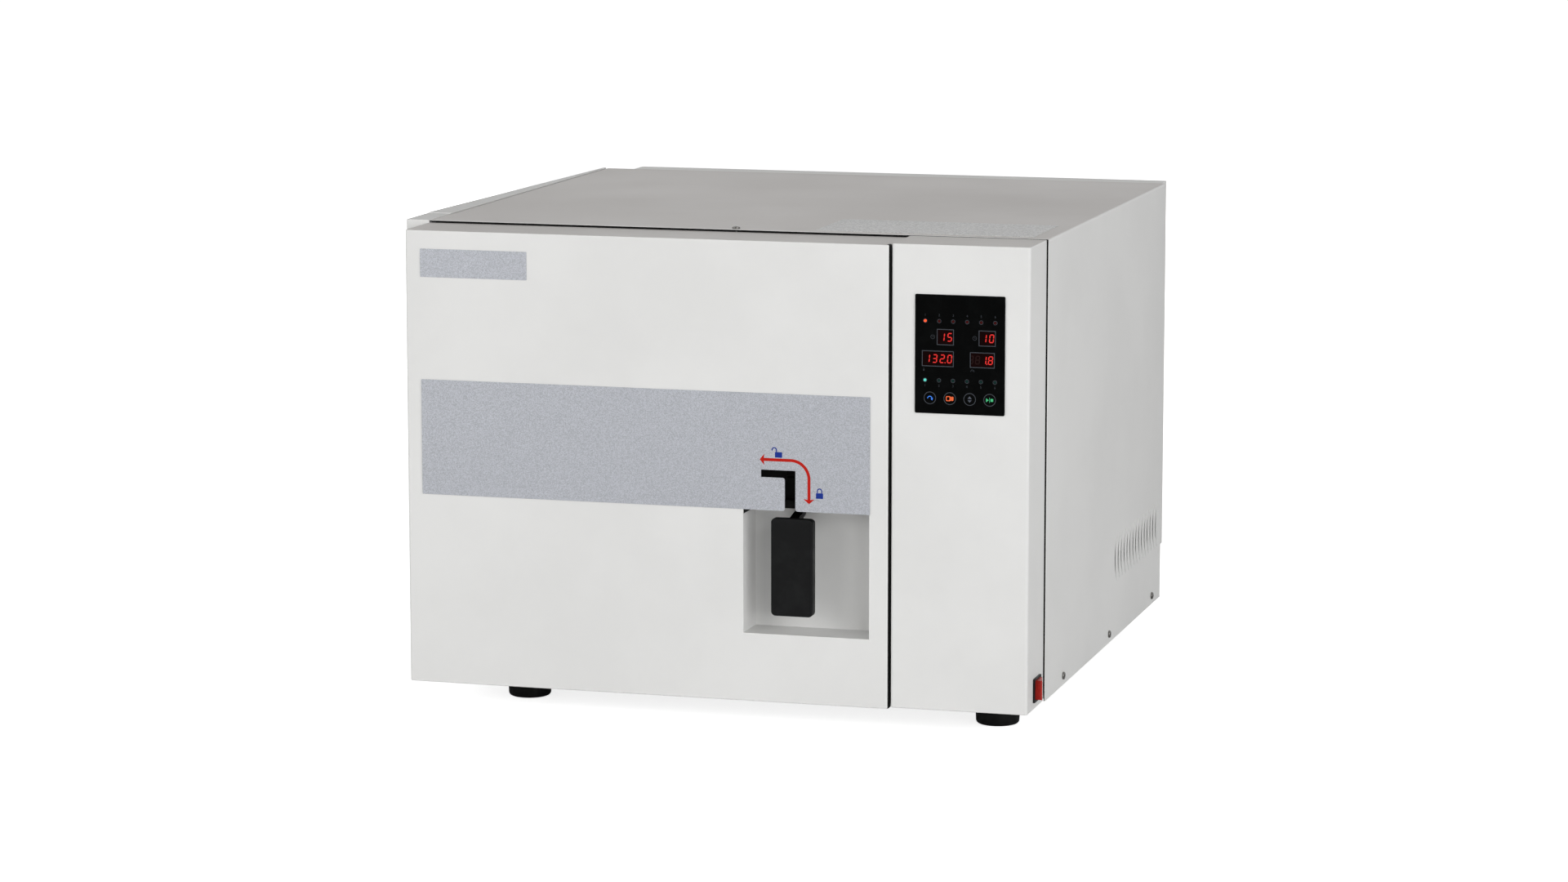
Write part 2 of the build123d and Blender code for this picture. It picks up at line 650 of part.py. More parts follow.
def make_safety_valve():
    foot = CHAMBER_Z + CHAMBER_RADIUS + CHAMBER_WALL
    stem = rod_z(CHAMBER_X, 500, (foot, foot + 30), 7.0)
    body = rod_z(CHAMBER_X, 500, (foot + 30, foot + 52), 10.0)
    cap = rod_z(CHAMBER_X, 500, (foot + 52, foot + 66), 7.5)
    ring = Pos(CHAMBER_X, 500, foot + 66.8) * Torus(6.0, 1.2)
    return stem + body + cap + ring


def make_drain_pipe():
    low = 50.0
    path = FilletPolyline(
        (CHAMBER_X, 560, CHAMBER_Z - CHAMBER_RADIUS - CHAMBER_WALL - 0.1),
        (CHAMBER_X, 560, low + 10),
        (SPIGOT_X, 560, low + 10),
        (SPIGOT_X, COVER_REAR - 12.5, low + 10),
        radius=14,
    )
    ring = path.location_at(0) * (Circle(4.0) - Circle(3.0))
    return sweep(ring, path=path)


nodes["safety_valve"] = make_safety_valve()
nodes["drain_pipe"] = make_drain_pipe()

# Tray rack and three trays inside the vessel
RACK_FRONT = 104.0
RACK_REAR = 600.0
TRAY_WIDTH = 236.0
TRAY_SHELVES = (CHAMBER_Z - 92.0, CHAMBER_Z - 12.0, CHAMBER_Z + 68.0)
TRAY_RIM = 16.0


def make_tray_rack():
    half = TRAY_WIDTH / 2 + 3.0
    rack = None
    for side in (-1, 1):
        x = CHAMBER_X + side * half
        for y in (RACK_FRONT, RACK_REAR - 12):
            post = block((x - 1, x + 1), (y, y + 12), (CHAMBER_Z - 108, CHAMBER_Z + 100))
            rack = post if rack is None else rack + post
        for shelf in TRAY_SHELVES:
            rail = block((x - 1, x + 1), (RACK_FRONT, RACK_REAR), (shelf - 2, shelf + 12))
            inner = (x, x - side * 12)
            ledge = block((min(inner), max(inner)), (RACK_FRONT, RACK_REAR), (shelf - 2, shelf))
            rack = rack + rail + ledge
    for y in (RACK_FRONT, RACK_REAR - 12):
        tie = block((CHAMBER_X - half, CHAMBER_X + half), (y, y + 12), (CHAMBER_Z - 108, CHAMBER_Z - 106))
        rack = rack + tie
    return rack


def make_tray(shelf):
    half = TRAY_WIDTH / 2
    depth = (RACK_FRONT + 6, RACK_REAR - 6)
    tray = block((CHAMBER_X - half, CHAMBER_X + half), depth, (shelf, shelf + TRAY_RIM))
    tray = fillet(tray.edges().filter_by(Axis.Z), 12.0)
    hollow = block((CHAMBER_X - half + 1, CHAMBER_X + half - 1), (depth[0] + 1, depth[1] - 1),
                   (shelf + 1, shelf + TRAY_RIM + 1))
    tray = tray - fillet(hollow.edges().filter_by(Axis.Z), 11.0)
    holes = [
        rod_z(CHAMBER_X + column * 36, depth[0] + 40 + row * 58, (shelf - 1, shelf + 2), 5.0)
        for column in range(-2, 3)
        for row in range(8)
    ]
    return cut_all(tray, holes)


nodes["tray_rack"] = make_tray_rack()
nodes["trays"] = [make_tray(shelf) for shelf in TRAY_SHELVES]

# Service bay on the right: water tank, pump, valve block and power supply


def make_water_tank():
    tank = block((560, 688), (130, 430), (320, 500))
    tank = fillet(tank.edges(), 8.0)
    tank = tank - block((563, 685), (133, 427), (323, 497))
    neck = rod_z(624, 200, (495, 512), 22.0)
    return tank + neck - rod_z(624, 200, (490, 520), 18.0)


def make_pump():
    body = rod_y(610, (200, 270), 80, 30.0) + block((585, 635), (200, 270), (FLOOR_TOP, 60))
    head = rod_y(610, (160, 200), 80, 22.0)
    ports = rod_z(610, 180, (100, 125), 5.0)
    return body + head + ports


def make_valve_block():
    block_body = block((575, 665), (340, 380), (90, 125)) + block((575, 665), (350, 370), (FLOOR_TOP, 90))
    for x in (595, 645):
        coil = block((x - 14, x + 14), (346, 374), (125, 165))
        block_body = block_body + coil + rod_z(x, 360, (165, 172), 6.0)
    return block_body


def make_power_supply():
    tray = block((566, 690), (430, 630), (FLOOR_TOP, FLOOR_TOP + 4))
    core = block((585, 665), (450, 520), (FLOOR_TOP + 4, 110))
    coil = block((575, 675), (460, 510), (56, 96))
    supply = tray + core + coil + block((570, 686), (540, 625), (46, 48))
    for x in (576, 680):
        for y in (546, 619):
            supply = supply + rod_z(x, y, (FLOOR_TOP + 4, 46), 3.0)
    for x in (595, 630):
        supply = supply + rod_z(x, 570, (48, 84), 12.0)
    return supply


nodes["water_tank"] = make_water_tank()
nodes["water_pump"] = make_pump()
nodes["valve_block"] = make_valve_block()
nodes["power_supply"] = make_power_supply()

# Control fascia: a folded box beside the door with a window for the controls and one for the switch
ROCKER_BEZEL = (32.0, 26.0)
ROCKER_HUB_RADIUS = 6.0
ROCKER_MOUTH = (24.8, 21.6)


def make_fascia():
    outer = block((FASCIA_LEFT, FASCIA_RIGHT), (0, DOOR_DEPTH), (FASCIA_BOTTOM, FASCIA_TOP))
    outer = fillet(upright_edges(outer, y=0), FRONT_EDGE_RADIUS)
    outer = fillet(outer.edges().filter_by(Axis.X).group_by(Axis.Y)[0], 1.2)
    inner = block((FASCIA_LEFT + SHEET, FASCIA_RIGHT - SHEET), (SHEET, DOOR_DEPTH + 1),
                  (FASCIA_BOTTOM + SHEET, FASCIA_TOP - SHEET))
    window = block((OVERLAY_LEFT + 5, OVERLAY_LEFT + OVERLAY_WIDTH - 5), (-1, SHEET + 1),
                   (OVERLAY_TOP - OVERLAY_HEIGHT + 5, OVERLAY_TOP - 5))
    switch = block((FASCIA_RIGHT - 9, FASCIA_RIGHT + 1), (ROCKER_Y - 14, ROCKER_Y + 14),
                   (ROCKER_Z - 11.4, ROCKER_Z + 11.4))
    bar_hole = block((FASCIA_LEFT - 1, FASCIA_LEFT + 9), (LOCK_BAR_Y - 6, LOCK_BAR_Y + 6),
                     (PIVOT_Z - 10, PIVOT_Z + 10))
    return outer - inner - window - switch - bar_hole


nodes["control_fascia"] = make_fascia()

# Control overlay: the gloss panel with its windows, lamp holes and button holes.
# Places on it are measured from its left edge and down from its top edge.
DISPLAY_WINDOWS = {
    "timer": (24.4, 37.2, 16.9, 15.5),
    "dry_timer": (69.7, 37.3, 16.9, 15.1),
    "temperature": (8.3, 60.4, 33.0, 15.3),
    "pressure": (60.4, 60.6, 25.2, 14.9),
}
LAMP_COLUMNS = [11.0 + index * 15.15 for index in range(6)]
LAMP_ROW_TOP = 28.1
LAMP_ROW_LOW = 91.1
BUTTON_COLUMNS = [16.4 + index * 21.6 for index in range(4)]
BUTTON_ROW = 110.1


def on_overlay(right, down):
    return OVERLAY_LEFT + right, OVERLAY_TOP - down


def make_overlay():
    left, right = OVERLAY_LEFT, OVERLAY_LEFT + OVERLAY_WIDTH
    top, bottom = OVERLAY_TOP, OVERLAY_TOP - OVERLAY_HEIGHT
    panel = block((left, right), (-OVERLAY_THICKNESS, 0), (bottom, top))
    panel = fillet(panel.edges().filter_by(Axis.Y), 1.5)
    for x_off, z_off, width, height in DISPLAY_WINDOWS.values():
        x, z = on_overlay(x_off, z_off)
        panel = panel - block((x, x + width), (-OVERLAY_THICKNESS - 1, 1), (z - height, z))
    for row in (LAMP_ROW_TOP, LAMP_ROW_LOW):
        for column in LAMP_COLUMNS:
            x, z = on_overlay(column, row)
            panel = panel - rod_y(x, (-9, 9), z, LED_RADIUS + 0.2)
    for column in BUTTON_COLUMNS:
        x, z = on_overlay(column, BUTTON_ROW)
        panel = panel - rod_y(x, (-9, 9), z, BUTTON_RADIUS + 0.25)
    return panel


nodes["control_overlay"] = make_overlay()

# Behind the overlay: display blocks, lamps, the circuit board on its posts, and four push buttons
BOARD_Y = 12.0
BOARD_THICKNESS = 1.6


def make_displays():
    blocks = []
    for x_off, z_off, width, height in DISPLAY_WINDOWS.values():
        x, z = on_overlay(x_off, z_off)
        blocks.append(block((x + 0.15, x + width - 0.15), (-OVERLAY_THICKNESS + 0.35, BOARD_Y),
                            (z - height + 0.15, z - 0.15)))
    return blocks


def make_lamps(row):
    lamps = []
    for column in LAMP_COLUMNS:
        x, z = on_overlay(column, row)
        body = rod_y(x, (-OVERLAY_THICKNESS, 5.0), z, LED_RADIUS)
        dome = Pos(x, -OVERLAY_THICKNESS, z) * Sphere(LED_RADIUS)
        dome = dome - block((x - 9, x + 9), (-OVERLAY_THICKNESS, 9), (z - 9, z + 9))
        dome = dome - block((x - 9, x + 9), (-9, -OVERLAY_THICKNESS - 0.7), (z - 9, z + 9))
        lamps.append(body + dome + rod_y(x, (5.0, BOARD_Y), z, 1.2))
    return lamps


def make_board():
    left, right = OVERLAY_LEFT + 6, OVERLAY_LEFT + OVERLAY_WIDTH - 6
    low, high = OVERLAY_TOP - OVERLAY_HEIGHT + 6, OVERLAY_TOP - 6
    board = block((left, right), (BOARD_Y, BOARD_Y + BOARD_THICKNESS), (low, high))
    chips = [(610, 440, 12), (640, 420, 9), (600, 385, 8), (650, 380, 7)]
    for x, z, half in chips:
        board = board + block((x - half, x + half), (BOARD_Y + 1, BOARD_Y + 5), (z - half / 2, z + half / 2))
    for column in BUTTON_COLUMNS:
        x, z = on_overlay(column, BUTTON_ROW)
        board = board + block((x - 3, x + 3), (BOARD_Y - 4, BOARD_Y + 0.5), (z - 3, z + 3))
    return board


def make_board_bracket():
    """A carrier sheet on four posts from the fascia's front wall."""
    left, right = OVERLAY_LEFT - 8, OVERLAY_LEFT + OVERLAY_WIDTH + 8
    low, high = OVERLAY_TOP - OVERLAY_HEIGHT - 8, OVERLAY_TOP + 8
    carrier = block((left, right), (20.0, 21.2), (low, high))
    carrier = carrier - block((left + 20, right - 20), (19, 22), (low + 20, high - 20))
    for x in (left + 4, right - 4):
        for z in (low + 4, high - 4):
            carrier = carrier + rod_y(x, (SHEET, 20.5), z, 3.0)
    for x in (OVERLAY_LEFT + 14, OVERLAY_LEFT + OVERLAY_WIDTH - 14):
        for z in (low + 18, high - 18):
            carrier = carrier + rod_y(x, (BOARD_Y + BOARD_THICKNESS, 20.5), z, 2.5)
    return carrier


def make_button(column):
    x, z = on_overlay(column, BUTTON_ROW)
    cap = rod_y(x, (-OVERLAY_THICKNESS - BUTTON_PROUD, 0.05), z, BUTTON_RADIUS)
    cap = chamfer(cap.edges().group_by(Axis.Y)[0], 0.25)
    collar = rod_y(x, (0.05, 1.05), z, BUTTON_RADIUS + 1.4)
    return cap + collar + rod_y(x, (1.0, BOARD_Y - 5.0), z, 1.5)


nodes["display_modules"] = make_displays()
nodes["phase_lamps"] = make_lamps(LAMP_ROW_TOP)
nodes["program_lamps"] = make_lamps(LAMP_ROW_LOW)
nodes["control_board"] = make_board()
nodes["board_bracket"] = make_board_bracket()
BUTTON_NAMES = ("button_program", "button_dry", "button_adjust", "button_run_stop")
for button_name, button_column in zip(BUTTON_NAMES, BUTTON_COLUMNS):
    nodes[button_name] = make_button(button_column)

# Mains switch on the fascia's right side: a bezel with its body, and a rocker on an upright axis


def make_switch_bezel():
    half_y, half_z = ROCKER_BEZEL[0] / 2, ROCKER_BEZEL[1] / 2
    mouth_y, mouth_z = ROCKER_MOUTH[0] / 2, ROCKER_MOUTH[1] / 2
    rim = block((FASCIA_RIGHT, FASCIA_RIGHT + 2), (ROCKER_Y - half_y, ROCKER_Y + half_y),
                (ROCKER_Z - half_z, ROCKER_Z + half_z))
    rim = fillet(rim.edges().filter_by(Axis.X), 1.5)
    body = block((FASCIA_RIGHT - 26, FASCIA_RIGHT), (ROCKER_Y - 13.8, ROCKER_Y + 13.8),
                 (ROCKER_Z - 11.2, ROCKER_Z + 11.2))
    cavity = block((FASCIA_RIGHT - 14, FASCIA_RIGHT + 3), (ROCKER_Y - mouth_y, ROCKER_Y + mouth_y),
                   (ROCKER_Z - mouth_z, ROCKER_Z + mouth_z))
    pins = block((FASCIA_RIGHT - 34, FASCIA_RIGHT - 26), (ROCKER_Y - 8, ROCKER_Y - 7),
                 (ROCKER_Z - 3, ROCKER_Z + 3))
    other = block((FASCIA_RIGHT - 34, FASCIA_RIGHT - 26), (ROCKER_Y + 7, ROCKER_Y + 8),
                  (ROCKER_Z - 3, ROCKER_Z + 3))
    return rim + body - cavity + pins + other


def make_rocker():
    """A rocker with a shallow V face on a round hub, leaning so that its front half stands proud."""
    reach = ROCKER_MOUTH[0] / 2 - 0.6
    half = ROCKER_MOUTH[1] / 2 - 0.3
    face = 8.3
    outline = [(-5, -5), (face, -reach + 0.2), (face - 2.2, 0), (face, reach - 0.2), (-5, 5)]
    rocker = prism_z(outline, (-half, half)) & Cylinder(math.hypot(face, reach), 2 * half + 2)
    rocker = fillet(rocker.edges().filter_by(Axis.Z).group_by(Axis.X)[-1], 0.8)
    rocker = rocker + Cylinder(ROCKER_HUB_RADIUS, 2 * half)
    return Pos(ROCKER_PIVOT_X, ROCKER_Y, ROCKER_Z) * Rot(0, 0, ROCKER_LEAN) * rocker


nodes["switch_bezel"] = make_switch_bezel()
nodes["switch_rocker"] = make_rocker()

# Door shell: a folded box, open at the back, with the recess opening and the hinge slots
SHELL_REAR = DOOR_DEPTH - SHEET
LEAF_Y = (HINGE_Y - 3.0, HINGE_Y + 3.0)
LEAF_REACH = 34.0
LEAF_GAP = 0.3


def make_door_shell():
    outer = block((0, DOOR_WIDTH), (0, DOOR_DEPTH), (DOOR_BOTTOM, DOOR_TOP))
    outer = fillet(upright_edges(outer, y=0), FRONT_EDGE_RADIUS)
    outer = fillet(outer.edges().filter_by(Axis.X).group_by(Axis.Y)[0], 1.2)
    inner = block((SHEET, DOOR_WIDTH - SHEET), (SHEET, DOOR_DEPTH + 1),
                  (DOOR_BOTTOM + SHEET, DOOR_TOP - SHEET))
    shell = outer - inner
    opening = block((RECESS_LEFT, RECESS_RIGHT), (-1, SHEET + 1), (RECESS_BOTTOM, POCKET_TOP))
    shell = shell - opening
    for z in HINGE_HEIGHTS:
        for centre in (z - KNUCKLE_HEIGHT, z + KNUCKLE_HEIGHT):
            half = KNUCKLE_HEIGHT / 2
            shell = shell - block((-1, SHEET + 1), (LEAF_Y[0] - 0.2, DOOR_DEPTH + 1),
                                  (centre - half, centre + half))
    bar_hole = block((DOOR_WIDTH - 9, DOOR_WIDTH + 1), (LOCK_BAR_Y - 4, LOCK_BAR_Y + 4),
                     (PIVOT_Z - LOCK_BAR_HALF - 1, PIVOT_Z + LOCK_BAR_HALF + 1))
    return shell - bar_hole


nodes["door_shell"] = make_door_shell()

# Silver band across the door, with the L-shaped slot that guides the handle's neck


def make_band():
    band = block((BAND_LEFT, BAND_RIGHT), (-BAND_THICKNESS, 0), (BAND_BOTTOM, BAND_TOP))
    band = fillet(band.edges().filter_by(Axis.Y), 0.8)
    upright = block((SLOT_RIGHT - SLOT_WIDTH, SLOT_RIGHT), (-9, 9), (BAND_BOTTOM - 1, SLOT_TOP))
    level = block((SLOT_LEFT, SLOT_RIGHT), (-9, 9), (SLOT_TOP - SLOT_HEIGHT, SLOT_TOP))
    band = band - upright - level
    corners = band.edges().filter_by(Axis.Y).filter_by(
        lambda edge: SLOT_RIGHT - SLOT_WIDTH - 0.1 < edge.center().X < SLOT_RIGHT + 0.1
        and edge.center().Z < SLOT_TOP - 1
    )
    return fillet(corners, 2.6)


nodes["door_band"] = make_band()

# Blank plates: one on the door's top left corner and one on the cover's top
nodes["door_name_plate"] = fillet(
    block((17.5, 139.4), (-0.6, 0), (COVER_TOP - 53.7, COVER_TOP - 22.8)).edges().filter_by(Axis.Y), 0.8
)
nodes["cover_label"] = fillet(
    block((438.0, 680.0), (90.0, 207.0), (COVER_TOP, COVER_TOP + 0.4)).edges().filter_by(Axis.Z), 1.0
)

# Handle recess: a folded tub, deeper behind the band where the latch carriage runs
TUB_WALL = 1.2


def make_recess_tub():
    wall = TUB_WALL
    low = block((RECESS_LEFT - wall, RECESS_RIGHT + wall), (SHEET, RECESS_DEPTH + wall),
                (RECESS_BOTTOM - wall, POCKET_TOP + wall))
    deep = block((RECESS_LEFT - wall, RECESS_RIGHT + wall), (SHEET, POCKET_DEPTH + wall),
                 (POCKET_BOTTOM - wall, POCKET_TOP + wall))
    low_hollow = block((RECESS_LEFT, RECESS_RIGHT), (SHEET - 1, RECESS_DEPTH), (RECESS_BOTTOM, POCKET_TOP))
    deep_hollow = block((RECESS_LEFT, RECESS_RIGHT), (SHEET - 1, POCKET_DEPTH), (POCKET_BOTTOM, POCKET_TOP))
    tongue_slot = block(
        (TONGUE_X[0] - LATCH_TRAVEL - 1, TONGUE_X[1] + 1),
        (POCKET_DEPTH - 1, POCKET_DEPTH + wall + 1),
        (PIVOT_Z - TONGUE_HALF - 0.5, PIVOT_Z + TONGUE_HALF + 0.5),
    )
    return low + deep - low_hollow - deep_hollow - tongue_slot


# Latch: a carriage behind the band, its tongue through the tub and the lock bar behind the tub
TONGUE_X = (430.0, 440.0)
TONGUE_HALF = 5.0
EAR_HALF = 8.5
HUB_RADIUS = 6.0
ARM_HALF = 5.0
ARM_THICK = 3.0
CARRIAGE_Y = (49.3, 53.4)


def make_carriage():
    middle = SLOT_MIDDLE
    base = block((middle - 17, middle + 17), CARRIAGE_Y, (PIVOT_Z - 12, PIVOT_Z + 12))
    tongue = block(TONGUE_X, (CARRIAGE_Y[1] - 1, LOCK_BAR_Y - 3), (PIVOT_Z - TONGUE_HALF, PIVOT_Z + TONGUE_HALF))
    carriage = base + tongue
    for side in (-1, 1):
        near, far = middle + side * (ARM_HALF + 0.6), middle + side * (ARM_HALF + 9.0)
        ear = block((min(near, far), max(near, far)), (PIVOT_DEPTH - 6.5, CARRIAGE_Y[0] + 1),
                    (PIVOT_Z - EAR_HALF, PIVOT_Z + EAR_HALF))
        ear = fillet(ear.edges().filter_by(Axis.X).group_by(Axis.Y)[0], 3.0)
        carriage = carriage + ear
    return carriage - rod_x((middle - 30, middle + 30), PIVOT_DEPTH, PIVOT_Z, 3.0)


def make_latch_pin():
    middle = SLOT_MIDDLE
    return rod_x((middle - ARM_HALF - 10.5, middle + ARM_HALF + 10.5), PIVOT_DEPTH, PIVOT_Z, 2.98)


def make_lock_bar():
    bar = block((396.0, DOOR_WIDTH - 1.5), (LOCK_BAR_Y - 3, LOCK_BAR_Y + 3),
                (PIVOT_Z - LOCK_BAR_HALF, PIVOT_Z + LOCK_BAR_HALF))
    return chamfer(bar.faces().sort_by(Axis.X)[-1].edges(), 1.5)


nodes["handle_recess"] = make_recess_tub()
nodes["latch_carriage"] = [make_carriage(), make_latch_pin()]
nodes["lock_bar"] = make_lock_bar()

# Guides screwed behind the tub, which the lock bar slides in


def make_guide(x):
    half = LOCK_BAR_HALF + 0.15
    guide = block((x, x + 10), (POCKET_DEPTH + TUB_WALL, LOCK_BAR_Y + 4.4), (PIVOT_Z - 12, PIVOT_Z + 12))
    channel = block((x - 1, x + 11), (LOCK_BAR_Y - 3.15, LOCK_BAR_Y + 3.15), (PIVOT_Z - half, PIVOT_Z + half))
    return guide - channel


nodes["lock_bar_guides"] = [make_guide(450.0), make_guide(508.0)]

# Handle: a flat arm from the pivot down behind the band and forward to the grip.
# Along the arm, "ahead" is the distance in front of the pivot and "below" the distance under it.
GRIP_LEFT = 413.8
GRIP_RIGHT = 460.2
GRIP_TOP = 232.3
GRIP_BOTTOM = 125.8
GRIP_FRONT = -1.0
GRIP_BACK = 11.5
NECK_BELOW = 45.5
NECK_THICK = 6.5


def make_handle_arm():
    ahead_to_grip = PIVOT_DEPTH - GRIP_BACK
    outline = [
        (-ARM_THICK, 0),
        (ARM_THICK, 0),
        (ARM_THICK, NECK_BELOW - 2),
        (ARM_THICK + 2, NECK_BELOW),
        (ahead_to_grip, NECK_BELOW + 5),
        (ahead_to_grip, NECK_BELOW + 38),
        (ahead_to_grip - 3, NECK_BELOW + 38),
        (ahead_to_grip - 6, NECK_BELOW + 5 + NECK_THICK),
        (-ARM_THICK, NECK_BELOW + NECK_THICK - 2),
    ]
    points = [(PIVOT_DEPTH - ahead, PIVOT_Z - below) for ahead, below in outline]
    left, right = SLOT_MIDDLE - ARM_HALF, SLOT_MIDDLE + ARM_HALF
    arm = prism_x(points, (left, right)) + rod_x((left, right), PIVOT_DEPTH, PIVOT_Z, HUB_RADIUS)
    return arm - rod_x((left - 1, right + 1), PIVOT_DEPTH, PIVOT_Z, 2.98 + RUNNING_GAP)


def make_grip():
    """A rounded plate; the bevel at its upper back edge clears the band as the handle swings up."""
    grip = block((GRIP_LEFT, GRIP_RIGHT), (GRIP_FRONT, GRIP_BACK), (GRIP_BOTTOM, GRIP_TOP))
    grip = fillet(grip.edges().filter_by(Axis.Y), 5.0)
    grip = fillet(grip.faces().sort_by(Axis.Y)[0].edges(), 1.6)
    grip = fillet(grip.faces().sort_by(Axis.Y)[-1].edges(), 1.6)
    top_bevel = [
        (GRIP_BACK - 4.4, GRIP_TOP),
        (GRIP_BACK, GRIP_TOP - 3.6),
        (GRIP_BACK + 2, GRIP_TOP - 3.6),
        (GRIP_BACK + 2, GRIP_TOP + 2),
        (GRIP_BACK - 4.4, GRIP_TOP + 2),
    ]
    return grip - prism_x(top_bevel, (GRIP_LEFT - 1, GRIP_RIGHT + 1))


nodes["handle_arm"] = make_handle_arm()
nodes["handle_grip"] = make_grip()

# Moving hinge leaves with two knuckles each, and the pins through them


def make_hinge_leaf(z):
    half = KNUCKLE_HEIGHT / 2
    leaf = None
    for centre in (z - KNUCKLE_HEIGHT, z + KNUCKLE_HEIGHT):
        knuckle = rod_z(HINGE_X, HINGE_Y, (centre - half + LEAF_GAP, centre + half - LEAF_GAP),
                        HINGE_BARREL_RADIUS)
        strap = block((HINGE_X, LEAF_REACH), LEAF_Y, (centre - half + LEAF_GAP, centre + half - LEAF_GAP))
        leaf = knuckle + strap if leaf is None else leaf + knuckle + strap
    pad = block((8.0, LEAF_REACH), LEAF_Y, (z - 1.5 * KNUCKLE_HEIGHT, z + 1.5 * KNUCKLE_HEIGHT))
    bore = rod_z(HINGE_X, HINGE_Y, (z - 40, z + 40), HINGE_PIN_RADIUS + 0.02)
    return leaf + pad - bore


def make_hinge_pin(z):
    length = 1.5 * KNUCKLE_HEIGHT
    pin = rod_z(HINGE_X, HINGE_Y, (z - length - 2, z + length), HINGE_PIN_RADIUS)
    return pin + rod_z(HINGE_X, HINGE_Y, (z + length, z + length + 3), HINGE_PIN_RADIUS + 2)


nodes["hinge_leaves"] = [make_hinge_leaf(z) for z in HINGE_HEIGHTS]
nodes["hinge_pins"] = [make_hinge_pin(z) for z in HINGE_HEIGHTS]

# Door carrier: the upright on the hinge leaves and the beam that holds the pressure lid
CARRIER_Y = (LEAF_Y[0] - 12.0, LEAF_Y[0])
LID_RADIUS = 190.0
LID_Y = (66.5, 77.5)
GASKET_RADII = (166.0, 184.0)
GASKET_Y = (75.5, CHAMBER_FRONT - 0.3)


def make_carrier():
    upright = block((8.0, LEAF_REACH), CARRIER_Y, (HINGE_HEIGHTS[0] - 34, HINGE_HEIGHTS[1] + 34))
    beam = block((8.0, CHAMBER_X + 30), CARRIER_Y, (CHAMBER_Z - 45, CHAMBER_Z + 45))
    boss = rod_y(CHAMBER_X, (CARRIER_Y[0] - 8, LID_Y[0]), CHAMBER_Z, 26.0)
    window = block((70.0, 200.0), (CARRIER_Y[0] - 1, CARRIER_Y[1] + 1), (CHAMBER_Z - 22, CHAMBER_Z + 22))
    return upright + beam + boss - window


def make_lid():
    lid = rod_y(CHAMBER_X, LID_Y, CHAMBER_Z, LID_RADIUS)
    lid = fillet(lid.edges().group_by(Axis.Y)[-1], 2.5)
    groove_outer = rod_y(CHAMBER_X, (GASKET_Y[0], 90), CHAMBER_Z, GASKET_RADII[1])
    groove_inner = rod_y(CHAMBER_X, (GASKET_Y[0] - 1, 91), CHAMBER_Z, GASKET_RADII[0])
    lid = lid - (groove_outer - groove_inner)
    dish = rod_y(CHAMBER_X, (LID_Y[1] - 1, LID_Y[1] + 3.5), CHAMBER_Z, CHAMBER_RADIUS - 12)
    return lid + fillet(dish.edges().group_by(Axis.Y)[-1], 3.0)


def make_gasket():
    inner, outer = GASKET_RADII
    outline = [(inner, GASKET_Y[0]), (outer, GASKET_Y[0]), (outer - 3, GASKET_Y[1]), (inner + 3, GASKET_Y[1])]
    ring = revolve(make_face(Polyline(*outline, close=True)), Axis.Y)
    return Pos(CHAMBER_X, 0, CHAMBER_Z) * ring


def make_door_liner():
    liner = block((SHEET, DOOR_WIDTH - SHEET), (SHELL_REAR, DOOR_DEPTH),
                  (DOOR_BOTTOM + SHEET, DOOR_TOP - SHEET))
    return liner - rod_y(CHAMBER_X, (SHELL_REAR - 1, DOOR_DEPTH + 1), CHAMBER_Z, LID_RADIUS + 4)


nodes["door_carrier"] = make_carrier()
nodes["pressure_lid"] = make_lid()
nodes["lid_gasket"] = make_gasket()
nodes["door_liner"] = make_door_liner()


def as_compound(shape):
    """One compound of a node's solids, whether it was made as one shape or as a list."""
    pieces = shape if isinstance(shape, (list, tuple)) else [shape]
    solids = []
    for piece in pieces:
        solids.extend(piece.solids())
    return Compound(children=[Solid(solid.wrapped) for solid in solids])


# Move everything to the middle of the footprint and write one file for each node
compounds = {name: as_compound(shape) for name, shape in nodes.items()}
boxes = [compound.bounding_box() for compound in compounds.values()]
MIDDLE_X = (min(box.min.X for box in boxes) + max(box.max.X for box in boxes)) / 2
MIDDLE_Y = (min(box.min.Y for box in boxes) + max(box.max.Y for box in boxes)) / 2
TO_MIDDLE = Pos(-MIDDLE_X, -MIDDLE_Y, 0)

for name, compound in compounds.items():
    export_step(TO_MIDDLE * compound, f"parts/{name}.step")

print("nodes", len(compounds), "middle", round(MIDDLE_X, 3), round(MIDDLE_Y, 3))
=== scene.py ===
"""Finishes, panel graphics and a small studio for a bench-top steam autoclave.

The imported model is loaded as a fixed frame. Every operator below finishes one piece, or one group of
like pieces, and main() calls them in order.
"""

import math

import bpy
from bpy.props import FloatProperty, FloatVectorProperty, PointerProperty
from mathutils import Matrix, Vector


